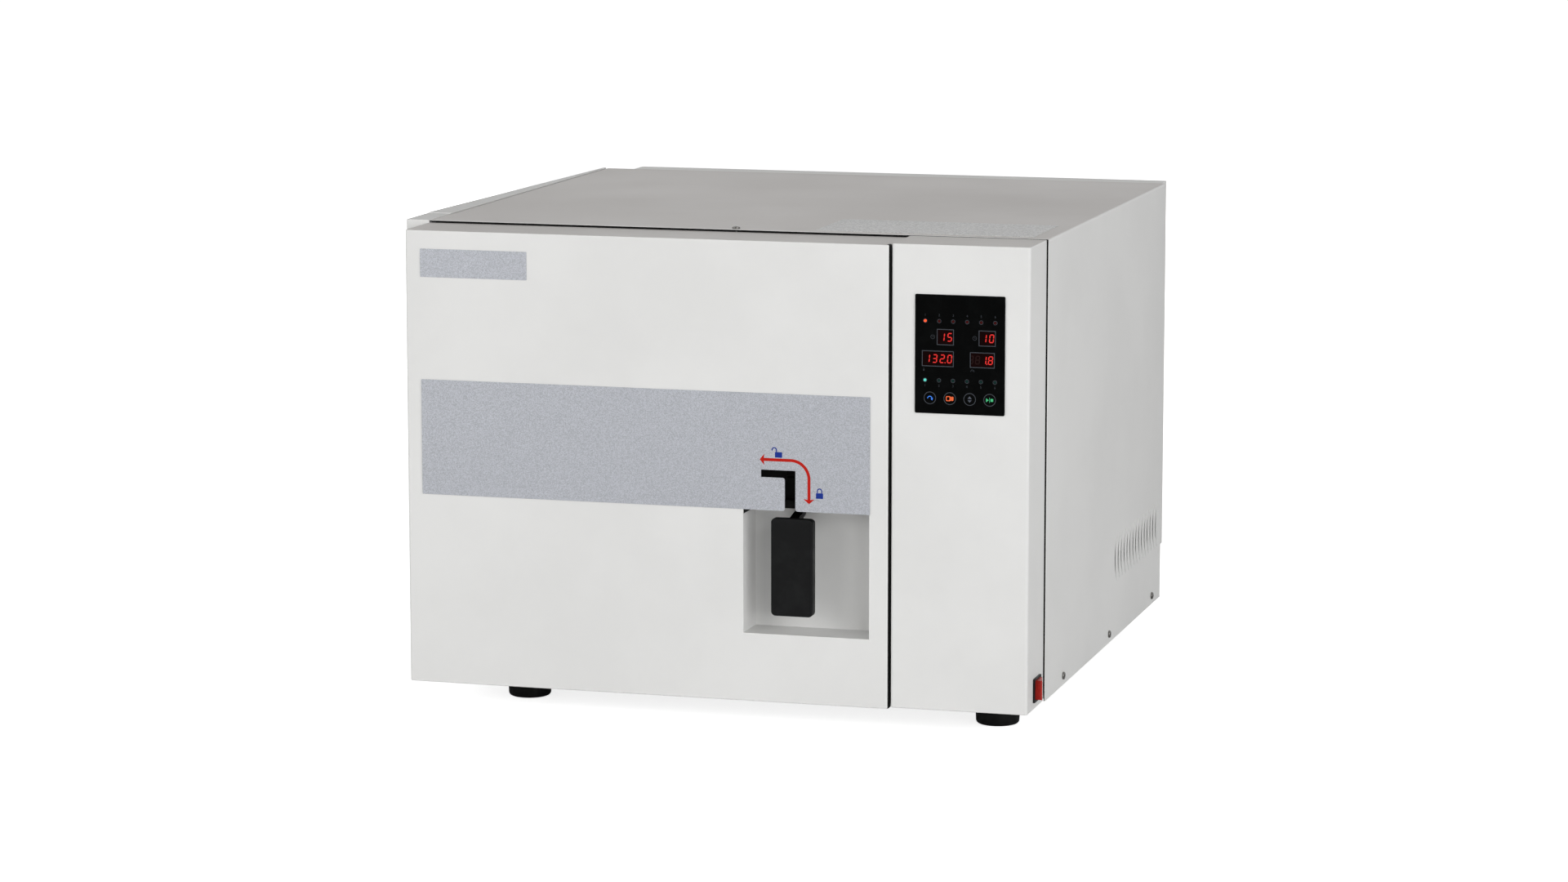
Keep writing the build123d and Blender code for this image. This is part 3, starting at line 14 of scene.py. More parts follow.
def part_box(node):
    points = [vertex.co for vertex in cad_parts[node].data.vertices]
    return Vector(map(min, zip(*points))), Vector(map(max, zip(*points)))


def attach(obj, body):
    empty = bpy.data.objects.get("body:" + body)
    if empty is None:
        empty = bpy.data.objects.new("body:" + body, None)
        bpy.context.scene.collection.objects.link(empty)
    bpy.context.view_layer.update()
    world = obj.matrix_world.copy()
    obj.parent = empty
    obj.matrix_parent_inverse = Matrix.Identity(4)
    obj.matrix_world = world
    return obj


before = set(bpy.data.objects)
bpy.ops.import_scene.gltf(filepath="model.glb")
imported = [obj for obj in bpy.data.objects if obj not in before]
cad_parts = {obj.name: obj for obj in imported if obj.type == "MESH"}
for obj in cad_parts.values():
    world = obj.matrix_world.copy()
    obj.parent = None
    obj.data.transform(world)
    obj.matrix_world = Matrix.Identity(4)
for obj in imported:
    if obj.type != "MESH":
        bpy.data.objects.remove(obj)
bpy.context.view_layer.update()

bl_info = {
    "name": "Steam Autoclave Finishes",
    "version": (1, 0, 0),
    "blender": (4, 5, 0),
    "location": "View3D > Sidebar > Autoclave",
    "description": "Paints a bench-top steam autoclave and draws its panel graphics",
    "category": "Object",
}

MM = 0.001
BAND_LOW, BAND_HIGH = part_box("door_band")
OVERLAY_LOW, OVERLAY_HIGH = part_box("control_overlay")
DISPLAY_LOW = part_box("display_modules")[0]
LAMPS_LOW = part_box("phase_lamps")[0]
FASCIA_LOW, FASCIA_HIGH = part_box("control_fascia")
PAN_LOW, PAN_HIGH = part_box("base_pan")
FRAME_LOW, FRAME_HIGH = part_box("front_frame")

# Painted shade, in millimetres: black lines round the gaps and in the recess, where shade falls. The recess
# is painted black from just below the silver band up, the painted shade on the frame reaches to each side
# of a frame edge, the hem is black from its inner edge outwards and just above the fascia, and the painted
# shade down the door's closing edge starts and ends at depths behind the door's face.
RECESS_BLACK_DROP = 5.3
RECESS_BLACK_SOFTNESS = 0.4
GAP_SHADE_WIDTH = 14.0
HEM_BLACK = 1.0
HEM_BLACK_OVER_FASCIA = 0.4
HEM_FACE_DEPTH = 0.3
DOOR_SHADE_START = 0.7
DOOR_SHADE_END = 9.0
DOOR_SHADE_REACH = 3.2
PAINTED_SHADE_BLACK = (0.004, 0.004, 0.004)
MATT_ROUGHNESS = 0.85

# Painted shade on the tops, darker for how the light falls on them: the size of its patches and how much of
# it is left on them
SHADED_TOPS = ("main_cover", "door_shell", "control_fascia")
TOP_SHADE_PATCH_SCALE = 3.5
TOP_SHADE_LEFT = 0.86

# What more than one finish uses
EVEN_GRAIN = (1.0, 1.0, 1.0)
STAINLESS = (0.60, 0.60, 0.59)
DUST_COLOUR = (0.35, 0.34, 0.32)

# Places on the gloss overlay, in millimetres right of its left edge and down from its top edge. The
# pressure display starts with two unlit digits.
WINDOWS = {
    "timer": (24.4, 37.2, 16.9, 15.5),
    "dry_timer": (69.7, 37.3, 16.9, 15.1),
    "temperature": (8.3, 60.4, 33.0, 15.3),
    "pressure": (60.4, 60.6, 25.2, 14.9),
}
READINGS = {"timer": "15", "dry_timer": "10", "temperature": "132.0", "pressure": "881.8"}
UNLIT_PLACES = {"pressure": 2}
NARROW_PITCH = {"pressure": 7.0}
DIGIT_LEAN = 0.10
DIGIT_MARGIN = 0.7
LAMP_COLUMNS = [11.0 + index * 15.15 for index in range(6)]
LAMP_ROWS = (28.1, 91.1)
NUMERAL_ROWS = (21.9, 96.9)
BUTTON_COLUMNS = [16.4 + index * 21.6 for index in range(4)]
BUTTON_ROW = 110.1
LENS_RADIUS = 1.75
BUTTON_RADIUS = 5.95
BUTTON_BODIES = ("button_program", "button_dry", "button_adjust", "button_run_stop")
POINT_AFTER = {"temperature": 2, "pressure": 2}
POINT_RADIUS = 0.62
POINT_RIGHT, POINT_RISE = 0.9, 0.55
CLOCK_PLACES = ((19.2, 45.0), (64.6, 45.0))
CLOCK_RADII = (2.3, 1.85)
THERMOMETER_PLACE = (9.6, 79.6)
GAUGE_PLACE = (62.4, 79.6)
SYMBOL_LINE = 0.4
NUMERAL_FONT_SCALE = 1.35

# Places on the silver band, in millimetres right of its left edge and down from its top edge
ARROW_LEFT_TIP = (384.0, 71.5)
ARROW_LOW_TIP = (438.8, 117.8)
PADLOCK_OPEN = (405.0, 63.0)
PADLOCK_CLOSED = (450.5, 105.5)

# The studio, in metres
FLOOR_REACH = 30.0
LAMP_WIDTH, LAMP_HEIGHT = 4.4, 2.4
LAMP_AIM = (0.0, 0.0, 0.28)
KEY_PLACE = (-3.3, -3.9, 1.45)
SIDE_PLACE = (3.6, -3.4, 1.35)
BACK_PLACE = (-2.2, 4.8, 1.4)
WHITE = (1.0, 1.0, 1.0)
KEY_COLOUR = (1.0, 0.995, 0.985)


class AutoclaveColours(bpy.types.PropertyGroup):
    """Colours that a user would change"""

    paint: FloatVectorProperty(
        name="Cabinet paint", description="Powder coat on the cabinet, door and fascia",
        subtype="COLOR", size=3, min=0, max=1, default=(0.76, 0.76, 0.75))
    # Painted shade: this colour darkens the tops for how the light falls on them.
    film: FloatVectorProperty(
        name="Top shade", description="Painted shade on the tops of the cover, the door and the fascia",
        subtype="COLOR", size=3, min=0, max=1, default=(0.59, 0.565, 0.545))
    inner_paint: FloatVectorProperty(
        name="Inner paint", description="Paint behind the door and inside the cabinet",
        subtype="COLOR", size=3, min=0, max=1, default=(0.66, 0.66, 0.64))
    silver: FloatVectorProperty(
        name="Silver film", description="Speckled film on the band and the plates",
        subtype="COLOR", size=3, min=0, max=1, default=(0.455, 0.47, 0.51))
    label: FloatVectorProperty(
        name="Label film", description="Bare film on the top of the cover",
        subtype="COLOR", size=3, min=0, max=1, default=(0.61, 0.61, 0.605))
    overlay: FloatVectorProperty(
        name="Gloss overlay", description="Black film of the control panel",
        subtype="COLOR", size=3, min=0, max=1, default=(0.0015, 0.0017, 0.0017))
    grip: FloatVectorProperty(
        name="Grip", description="Moulded plastic of the door grip",
        subtype="COLOR", size=3, min=0, max=1, default=(0.0058, 0.0061, 0.0064))
    arrow: FloatVectorProperty(
        name="Lock arrow", description="Red ink of the arrow round the slot",
        subtype="COLOR", size=3, min=0, max=1, default=(0.50, 0.013, 0.006))
    padlock: FloatVectorProperty(
        name="Padlock symbols", description="Blue ink of the open and closed padlocks",
        subtype="COLOR", size=3, min=0, max=1, default=(0.012, 0.036, 0.27))
    panel_line: FloatVectorProperty(
        name="Panel lines", description="Grey ink of the frames, rings and numerals",
        subtype="COLOR", size=3, min=0, max=1, default=(0.055, 0.061, 0.072))
    digit: FloatVectorProperty(
        name="Lit digits", description="Glow of the display digits",
        subtype="COLOR", size=3, min=0, max=1, default=(0.86, 0.012, 0.006))
    rocker: FloatVectorProperty(
        name="Mains rocker", description="Red plastic of the mains switch",
        subtype="COLOR", size=3, min=0, max=1, default=(0.40, 0.022, 0.016))


class AutoclaveSizes(bpy.types.PropertyGroup):
    """Sizes of the printed graphics that a user would change"""

    ink_thickness: FloatProperty(
        name="Ink thickness", description="How far a printed line stands proud",
        unit="LENGTH", default=0.05 * MM)
    arrow_stroke: FloatProperty(
        name="Arrow stroke", description="Width of the red arrow's line",
        unit="LENGTH", default=3.25 * MM)
    arrow_head_width: FloatProperty(
        name="Arrow head width", description="From barb to barb",
        unit="LENGTH", default=12.2 * MM)
    arrow_head_length: FloatProperty(
        name="Arrow head length", description="From the tip back to the barbs",
        unit="LENGTH", default=5.2 * MM)
    arrow_bend: FloatProperty(
        name="Arrow bend", description="Radius of the bend, on the middle of the line",
        unit="LENGTH", default=20.0 * MM)
    window_line: FloatProperty(
        name="Window frame line", description="Width of the line round each display",
        unit="LENGTH", default=0.8 * MM)
    lamp_ring: FloatProperty(
        name="Lamp ring line", description="Width of the ring round each lamp",
        unit="LENGTH", default=0.5 * MM)
    button_ring: FloatProperty(
        name="Button ring line", description="Width of the ring round each button",
        unit="LENGTH", default=0.75 * MM)
    digit_height: FloatProperty(
        name="Digit height", description="Height of a seven-segment digit",
        unit="LENGTH", default=9.2 * MM)
    digit_width: FloatProperty(
        name="Digit width", description="Width of a seven-segment digit",
        unit="LENGTH", default=5.2 * MM)
    digit_pitch: FloatProperty(
        name="Digit pitch", description="From one digit to the next",
        unit="LENGTH", default=8.0 * MM)
    segment: FloatProperty(
        name="Segment width", description="Width of one lit segment",
        unit="LENGTH", default=1.1 * MM)
    numeral: FloatProperty(
        name="Numeral size", description="Height of the small numerals beside the lamps",
        unit="LENGTH", default=2.6 * MM)


class AutoclaveStudio(bpy.types.PropertyGroup):
    """Camera and lamps"""

    camera_place: FloatVectorProperty(
        name="Camera place", description="Where the camera stands",
        subtype="TRANSLATION", unit="LENGTH", size=3, default=(1.4171, -5.0472, 1.0677))
    camera_turn: FloatProperty(
        name="Camera turn", description="How far the view turns to the left",
        subtype="ANGLE", default=math.radians(15.943))
    camera_tilt: FloatProperty(
        name="Camera tilt", description="How far the view looks down",
        subtype="ANGLE", default=math.radians(8.836))
    lens: FloatProperty(
        name="Lens", description="Focal length on a 36 mm sensor, in millimetres", default=105.22)
    key_power: FloatProperty(
        name="Key lamp", description="Large soft lamp in front, to the left",
        unit="POWER", default=92.0)
    side_power: FloatProperty(
        name="Side lamp", description="Large soft lamp in front, to the right",
        unit="POWER", default=136.0)
    back_power: FloatProperty(
        name="Back lamp", description="Soft lamp behind, which no gloss surface mirrors",
        unit="POWER", default=85.0)
    surround: FloatProperty(
        name="Surround", description="Strength of the even light from all round", default=0.42)
    front_dim: FloatProperty(
        name="Mirrored front", description="How bright the room in front looks in a gloss surface",
        default=0.3)
    floor_lift: FloatProperty(
        name="Floor lift", description="What brings the lit floor up to white in the picture",
        default=0.8)
    overhead: FloatProperty(
        name="Overhead share", description="How much of the even light also comes from straight above",
        default=0.52)


# Small helpers for node trees


def join(tree, source, target):
    """Link an output to an input."""
    tree.links.new(source, target)


def feed(tree, socket, value):
    """Link an output, or set a plain value."""
    if isinstance(value, bpy.types.NodeSocket):
        tree.links.new(value, socket)
    elif isinstance(value, (tuple, list)) and len(value) == 3 and socket.type == "RGBA":
        socket.default_value = (*value, 1.0)
    else:
        socket.default_value = value


def calculate(tree, operation, first, second=0.5, third=0.5):
    """The result of one Math node."""
    node = tree.nodes.new("ShaderNodeMath")
    node.operation = operation
    for socket, value in zip(node.inputs, (first, second, third)):
        feed(tree, socket, value)
    return node.outputs[0]


def rescale(tree, value, low, high, to_low=0.0, to_high=1.0):
    """A smooth step from one value to another, while the input goes from low to high."""
    node = tree.nodes.new("ShaderNodeMapRange")
    node.interpolation_type = "SMOOTHSTEP"
    for socket, number in zip(node.inputs, (value, low, high, to_low, to_high)):
        feed(tree, socket, number)
    return node.outputs[0]


def blend_colours(tree, amount, first, second):
    """The first colour where the amount is 0, and the second where it is 1."""
    node = tree.nodes.new("ShaderNodeMix")
    node.data_type = "RGBA"
    feed(tree, node.inputs["Factor"], amount)
    feed(tree, node.inputs[6], first)
    feed(tree, node.inputs[7], second)
    return node.outputs[2]


def noise(tree, vector, scale, detail=3.0, roughness=0.5):
    """Soft random values between 0 and 1."""
    node = tree.nodes.new("ShaderNodeTexNoise")
    join(tree, vector, node.inputs["Vector"])
    feed(tree, node.inputs["Scale"], scale)
    node.inputs["Detail"].default_value = detail
    node.inputs["Roughness"].default_value = roughness
    return node.outputs["Fac"]


def bump(tree, height, strength, distance):
    """Normals tilted by a height that changes over the surface."""
    node = tree.nodes.new("ShaderNodeBump")
    join(tree, height, node.inputs["Height"])
    node.inputs["Strength"].default_value = strength
    node.inputs["Distance"].default_value = distance
    return node.outputs["Normal"]


def object_place(tree):
    """The place of a point on the object, in metres."""
    return tree.nodes.new("ShaderNodeTexCoord").outputs["Object"]


def looking_up(tree, low, high):
    """1 on faces that look straight up, falling to 0 as they tip over."""
    facing = tree.nodes.new("ShaderNodeSeparateXYZ")
    join(tree, tree.nodes.new("ShaderNodeNewGeometry").outputs["Normal"], facing.inputs[0])
    return rescale(tree, facing.outputs["Z"], low, high)


def object_axes(tree):
    """The three coordinates of a point on the object, by name."""
    parts = tree.nodes.new("ShaderNodeSeparateXYZ")
    join(tree, object_place(tree), parts.inputs[0])
    return parts.outputs


# Shared effects, each built once as a node group


def start_group(name, inputs, outputs):
    """A shader node group with float or vector sockets; returns the tree, its inputs and its outputs."""
    group = bpy.data.node_groups.new(name, "ShaderNodeTree")
    for label, kind, value in inputs:
        socket = group.interface.new_socket(name=label, in_out="INPUT", socket_type=kind)
        socket.default_value = value
    for label, kind in outputs:
        group.interface.new_socket(name=label, in_out="OUTPUT", socket_type=kind)
    entry = group.nodes.new("NodeGroupInput")
    leave = group.nodes.new("NodeGroupOutput")
    return group, entry.outputs, leave.inputs


def build_powder_coat_group():
    """Orange peel of a sprayed or baked coat, with a slow drift of gloss."""
    group, given, result = start_group(
        "Powder Coat",
        [("Peel Scale", "NodeSocketFloat", 420.0), ("Grit Scale", "NodeSocketFloat", 2600.0),
         ("Drift Scale", "NodeSocketFloat", 5.0)],
        [("Height", "NodeSocketFloat"), ("Drift", "NodeSocketFloat")])
    place = object_place(group)
    peel = noise(group, place, given["Peel Scale"], detail=2.0, roughness=0.45)
    grit = noise(group, place, given["Grit Scale"], detail=1.0, roughness=0.5)
    height = calculate(group, "MULTIPLY_ADD", grit, 0.35, peel)
    drift = noise(group, place, given["Drift Scale"], detail=4.0, roughness=0.6)
    join(group, height, result["Height"])
    join(group, drift, result["Drift"])
    return group


def build_dust_group():
    """A mask of fine dust on faces that look up."""
    group, given, result = start_group(
        "Settled Dust",
        [("Amount", "NodeSocketFloat", 0.5), ("Patch Scale", "NodeSocketFloat", 9.0)],
        [("Mask", "NodeSocketFloat")])
    upward = looking_up(group, 0.55, 0.98)
    place = object_place(group)
    drifts = noise(group, place, given["Patch Scale"], detail=5.0, roughness=0.62)
    grains = noise(group, place, 900.0, detail=2.0, roughness=0.6)
    patches = rescale(group, drifts, 0.3, 0.7, 0.35, 1.0)
    specks = rescale(group, grains, 0.45, 0.75, 0.5, 1.0)
    mask = calculate(group, "MULTIPLY", calculate(group, "MULTIPLY", upward, patches), specks)
    join(group, calculate(group, "MULTIPLY", mask, given["Amount"]), result["Mask"])
    return group


def build_edge_group():
    """A mask along the outer edges of a boxy piece, from its own bounding box, for painted highlights along
    them.
    """
    group, given, result = start_group(
        "Edge Highlight",
        [("Box Size", "NodeSocketVector", (0.5, 0.1, 0.5)), ("Width", "NodeSocketFloat", 0.003)],
        [("Mask", "NodeSocketFloat")])
    place = group.nodes.new("ShaderNodeTexCoord").outputs["Generated"]
    parts = group.nodes.new("ShaderNodeSeparateXYZ")
    sizes = group.nodes.new("ShaderNodeSeparateXYZ")
    join(group, place, parts.inputs[0])
    join(group, given["Box Size"], sizes.inputs[0])
    gaps = []
    for axis in ("X", "Y", "Z"):
        inward = calculate(group, "SUBTRACT", 0.5, calculate(
            group, "ABSOLUTE", calculate(group, "SUBTRACT", parts.outputs[axis], 0.5)))
        gaps.append(calculate(group, "MULTIPLY", inward, sizes.outputs[axis]))
    least = calculate(group, "MINIMUM", gaps[0], gaps[1])
    most = calculate(group, "MAXIMUM", gaps[0], gaps[1])
    second = calculate(group, "MAXIMUM", least, calculate(group, "MINIMUM", most, gaps[2]))
    near = calculate(group, "SUBTRACT", 1.0, calculate(group, "DIVIDE", second, given["Width"]))
    broken = rescale(group, noise(group, place, 60.0, detail=4.0, roughness=0.7), 0.35, 0.7, 0.2, 1.0)
    node = group.nodes.new("ShaderNodeClamp")
    join(group, near, node.inputs["Value"])
    join(group, calculate(group, "MULTIPLY", node.outputs[0], broken), result["Mask"])
    return group


def build_brushed_group():
    """Fine parallel lines of a brushed or rolled metal, with a slow drift."""
    group, given, result = start_group(
        "Brushed Grain",
        [("Stretch", "NodeSocketVector", (1.0, 1.0, 1.0)), ("Line Scale", "NodeSocketFloat", 60.0)],
        [("Height", "NodeSocketFloat"), ("Drift", "NodeSocketFloat")])
    place = object_place(group)
    pulled = group.nodes.new("ShaderNodeVectorMath")
    pulled.operation = "MULTIPLY"
    join(group, place, pulled.inputs[0])
    join(group, given["Stretch"], pulled.inputs[1])
    lines = noise(group, pulled.outputs[0], given["Line Scale"], detail=6.0, roughness=0.7)
    join(group, lines, result["Height"])
    join(group, noise(group, place, 7.0, detail=3.0, roughness=0.6), result["Drift"])
    return group


def build_speckle_group():
    """Bright and dark flakes of a metallic film."""
    group, given, result = start_group(
        "Metal Speckle",
        [("Flake Scale", "NodeSocketFloat", 900.0)],
        [("Flakes", "NodeSocketFloat"), ("Height", "NodeSocketFloat")])
    place = object_place(group)
    cells = group.nodes.new("ShaderNodeTexVoronoi")
    join(group, place, cells.inputs["Vector"])
    join(group, given["Flake Scale"], cells.inputs["Scale"])
    tone = group.nodes.new("ShaderNodeSeparateColor")
    join(group, cells.outputs["Color"], tone.inputs[0])
    clump_scale = calculate(group, "MULTIPLY", given["Flake Scale"], 0.55)
    clumps = noise(group, place, clump_scale, detail=2.0, roughness=0.6)
    fine = calculate(group, "MULTIPLY", tone.outputs[0], 0.7)
    mixed = calculate(group, "MULTIPLY_ADD", clumps, 0.3, fine)
    join(group, mixed, result["Flakes"])
    join(group, tone.outputs[1], result["Height"])
    return group


def build_moulded_group():
    """Fine leather-like texture of a moulded plastic, with handling marks."""
    group, given, result = start_group(
        "Moulded Texture",
        [("Texture Scale", "NodeSocketFloat", 1600.0), ("Mark Scale", "NodeSocketFloat", 30.0)],
        [("Height", "NodeSocketFloat"), ("Marks", "NodeSocketFloat")])
    place = object_place(group)
    join(group, noise(group, place, given["Texture Scale"], detail=3.0, roughness=0.55), result["Height"])
    marks = rescale(group, noise(group, place, given["Mark Scale"], detail=5.0, roughness=0.65), 0.42, 0.68)
    join(group, marks, result["Marks"])
    return group


GROUP_BUILDERS = {
    "Powder Coat": build_powder_coat_group,
    "Settled Dust": build_dust_group,
    "Edge Highlight": build_edge_group,
    "Brushed Grain": build_brushed_group,
    "Metal Speckle": build_speckle_group,
    "Moulded Texture": build_moulded_group,
}


def effect(tree, name, **values):
    """Place a shared effect in a material; the values' names are the sockets' names with underscores."""
    group = bpy.data.node_groups.get(name) or GROUP_BUILDERS[name]()
    node = tree.nodes.new("ShaderNodeGroup")
    node.node_tree = group
    for label, value in values.items():
        node.inputs[label.replace("_", " ")].default_value = value
    return node.outputs


def start_finish(name, **constants):
    """A new material; the constants are set on the shader's own sockets."""
    material = bpy.data.materials.new(name)
    material.use_nodes = True
    shader = material.node_tree.nodes["Principled BSDF"]
    for label, value in constants.items():
        feed(material.node_tree, shader.inputs[label.replace("_", " ")], value)
    return material, material.node_tree, shader


def apply_finish(material, *node_names):
    """Give CAD nodes a finish on every one of their material slots."""
    for name in node_names:
        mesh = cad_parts[name].data
        if not mesh.materials:
            mesh.materials.append(material)
        for index in range(len(mesh.materials)):
            mesh.materials[index] = material


def read_node_slots():
    """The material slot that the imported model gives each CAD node."""
    return {name: holder.data.materials[0].name for name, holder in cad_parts.items()}


NODE_SLOTS = read_node_slots()


def slot_nodes(slot_name):
    """The CAD nodes whose packed material slot has this name."""
    found = [name for name, slot in NODE_SLOTS.items() if slot == slot_name]
    if not found:
        raise RuntimeError("no CAD node has the slot " + slot_name)
    return found


def box_size(node_name):
    """Width, depth and height of a CAD node's box, in metres."""
    low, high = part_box(node_name)
    return tuple(max(high[axis] - low[axis], MM) for axis in range(3))


# Finishes


def powder_coat(name, colour, size, roughness=0.48, dust=0.25, level=0.45):
    """Satin powder coat: orange peel, drifting gloss, painted highlights along the edges and a little dust
    on top.
    """
    material, tree, shader = start_finish(name, Specular_IOR_Level=level)
    coat = effect(tree, "Powder Coat")
    grime = effect(tree, "Settled Dust", Amount=dust)
    edge_highlight = effect(tree, "Edge Highlight", Box_Size=size, Width=0.0035)
    darker = tuple(channel * 0.95 for channel in colour)
    lighter = tuple(min(channel * 1.06, 1.0) for channel in colour)
    dusty = (colour[0] * 0.80, colour[1] * 0.78, colour[2] * 0.74)
    toned = blend_colours(tree, rescale(tree, coat["Drift"], 0.3, 0.7), darker, colour)
    # Painted highlight: the edges are lighter where the light catches them.
    highlighted = blend_colours(tree, calculate(tree, "MULTIPLY", edge_highlight["Mask"], 0.6), toned, lighter)
    join(tree, blend_colours(tree, grime["Mask"], highlighted, dusty), shader.inputs["Base Color"])
    join(tree, rescale(tree, coat["Drift"], 0.25, 0.75, roughness - 0.05, roughness + 0.06),
         shader.inputs["Roughness"])
    join(tree, bump(tree, coat["Height"], strength=0.16, distance=0.0003), shader.inputs["Normal"])
    return material


def brushed_metal(name, colour, stretch, roughness=0.32, line_scale=60.0, metallic=1.0):
    """Brushed or rolled metal with fine lines across its gloss."""
    material, tree, shader = start_finish(name, Metallic=metallic)
    grain = effect(tree, "Brushed Grain", Stretch=stretch, Line_Scale=line_scale)
    dark = tuple(channel * 0.78 for channel in colour)
    shade = calculate(tree, "MULTIPLY_ADD", grain["Drift"], 0.5, calculate(
        tree, "MULTIPLY", grain["Height"], 0.5))
    join(tree, blend_colours(tree, rescale(tree, shade, 0.35, 0.65), dark, colour),
         shader.inputs["Base Color"])
    join(tree, rescale(tree, shade, 0.3, 0.7, roughness - 0.08, roughness + 0.1),
         shader.inputs["Roughness"])
    join(tree, bump(tree, grain["Height"], strength=0.12, distance=0.0002), shader.inputs["Normal"])
    return material


def moulded_plastic(name, colour, roughness=0.5, texture_scale=1600.0, depth=0.15, dust=0.0, level=0.5):
    """Moulded plastic or rubber with a fine texture and handling marks."""
    material, tree, shader = start_finish(name, Specular_IOR_Level=level)
    surface = effect(tree, "Moulded Texture", Texture_Scale=texture_scale)
    worn = tuple(min(channel * 1.35 + 0.002, 1.0) for channel in colour)
    toned = blend_colours(tree, surface["Marks"], colour, worn)
    if dust:
        grime = effect(tree, "Settled Dust", Amount=dust)
        toned = blend_colours(tree, grime["Mask"], toned, DUST_COLOUR)
    join(tree, toned, shader.inputs["Base Color"])
    join(tree, rescale(tree, surface["Marks"], 0.0, 1.0, roughness + 0.04, roughness - 0.07),
         shader.inputs["Roughness"])
    join(tree, bump(tree, surface["Height"], strength=depth, distance=0.0002), shader.inputs["Normal"])
    return material


def silver_film(name, colour, flake_scale=1500.0, metallic=0.25, level=0.4):
    """Metallic speckled film."""
    material, tree, shader = start_finish(name, Metallic=metallic, Specular_IOR_Level=level)
    flakes = effect(tree, "Metal Speckle", Flake_Scale=flake_scale)
    dark = tuple(channel * 0.84 for channel in colour)
    light = tuple(min(channel * 1.16, 1.0) for channel in colour)
    amount = rescale(tree, flakes["Flakes"], 0.25, 0.75)
    join(tree, blend_colours(tree, amount, dark, light), shader.inputs["Base Color"])
    join(tree, rescale(tree, flakes["Flakes"], 0.2, 0.8, 0.5, 0.36), shader.inputs["Roughness"])
    join(tree, bump(tree, flakes["Height"], strength=0.1, distance=0.0001), shader.inputs["Normal"])
    return material


def printed_ink(name, colour, roughness=0.45):
    """Screen-printed ink with slight unevenness."""
    material, tree, shader = start_finish(name, Specular_IOR_Level=0.12)
    place = object_place(tree)
    cover = rescale(tree, noise(tree, place, 500.0, detail=3.0, roughness=0.6), 0.3, 0.7)
    thin = tuple(channel * 0.86 for channel in colour)
    join(tree, blend_colours(tree, cover, thin, colour), shader.inputs["Base Color"])
    join(tree, rescale(tree, cover, 0.0, 1.0, roughness + 0.05, roughness - 0.05),
         shader.inputs["Roughness"])
    return material


def glowing(name, colour, strength, body_colour=(0.02, 0.002, 0.002)):
    """A lit segment or symbol, a little uneven across its face."""
    material, tree, shader = start_finish(
        name, Base_Color=body_colour, Roughness=0.4, Emission_Strength=strength)
    place = object_place(tree)
    even = rescale(tree, noise(tree, place, 700.0, detail=2.0, roughness=0.5), 0.3, 0.7)
    dimmer = tuple(channel * 0.85 for channel in colour)
    join(tree, blend_colours(tree, even, dimmer, colour), shader.inputs["Emission Color"])
    return material


def lamp_row(name, lit_colour, dark_colour):
    """Six lenses; only the leftmost is lit."""
    material, tree, shader = start_finish(
        name, Roughness=0.18, Emission_Strength=0.8, Specular_IOR_Level=0.15)
    first_end = LAMPS_LOW.x + (LAMP_COLUMNS[1] - LAMP_COLUMNS[0]) * MM / 2
    lit = calculate(tree, "LESS_THAN", object_axes(tree)["X"], first_end)
    grain = rescale(tree, noise(tree, object_place(tree), 1500.0, detail=2.0, roughness=0.5), 0.3, 0.7)
    shade = blend_colours(tree, grain, tuple(channel * 0.7 for channel in dark_colour), dark_colour)
    join(tree, blend_colours(tree, lit, shade, lit_colour), shader.inputs["Base Color"])
    join(tree, blend_colours(tree, lit, (0.0, 0.0, 0.0), lit_colour), shader.inputs["Emission Color"])
    return material


# Shapes for printed graphics, in millimetres right and down from a corner


def circle_loop(right, down, radius, count):
    """A circle as a closed loop of points."""
    steps = [2 * math.pi * index / count for index in range(count)]
    return [(right + radius * math.cos(angle), down + radius * math.sin(angle)) for angle in steps]


def rounded_loop(left, top, width, height, radius, steps=6):
    """A rectangle with rounded corners as a closed loop of points."""
    near, far = left + radius, left + width - radius
    upper, lower = top + radius, top + height - radius
    corners = ((far, upper, -90), (far, lower, 0), (near, lower, 90), (near, upper, 180))
    loop = []
    for right, down, start in corners:
        for step in range(steps + 1):
            angle = math.radians(start + 90 * step / steps)
            loop.append((right + radius * math.cos(angle), down + radius * math.sin(angle)))
    return loop


def arc_points(right, down, radius, start, end, steps=16):
    """Points along an arc; the angles are in degrees, clockwise from the right."""
    angles = [math.radians(start + (end - start) * step / steps) for step in range(steps + 1)]
    return [(right + radius * math.cos(angle), down + radius * math.sin(angle)) for angle in angles]


def stroke_loop(points, width):
    """The outline of an open line of the given width."""
    left_side, right_side = [], []
    for index, (right, down) in enumerate(points):
        before = points[max(index - 1, 0)]
        after = points[min(index + 1, len(points) - 1)]
        along = Vector((after[0] - before[0], after[1] - before[1])).normalized()
        offset = Vector((-along.y, along.x)) * width / 2
        left_side.append((right + offset.x, down + offset.y))
        right_side.append((right - offset.x, down - offset.y))
    return left_side + right_side[::-1]


def print_graphic(name, loops, corner, material, body):
    """Make closed loops into a thin print on a front face and let it ride on a body.

    Loops inside one another leave holes."""
    thickness = bpy.context.scene.autoclave_sizes.ink_thickness
    drawing = bpy.data.curves.new(name, "CURVE")
    drawing.dimensions = "2D"
    drawing.fill_mode = "BOTH"
    drawing.extrude = thickness / 2
    for loop in loops:
        spline = drawing.splines.new("POLY")
        spline.points.add(len(loop) - 1)
        for point, (right, down) in zip(spline.points, loop):
            point.co = (right * MM, -down * MM, 0.0, 1.0)
        spline.use_cyclic_u = True
    return settle_print(name, drawing, corner, thickness, material, body)


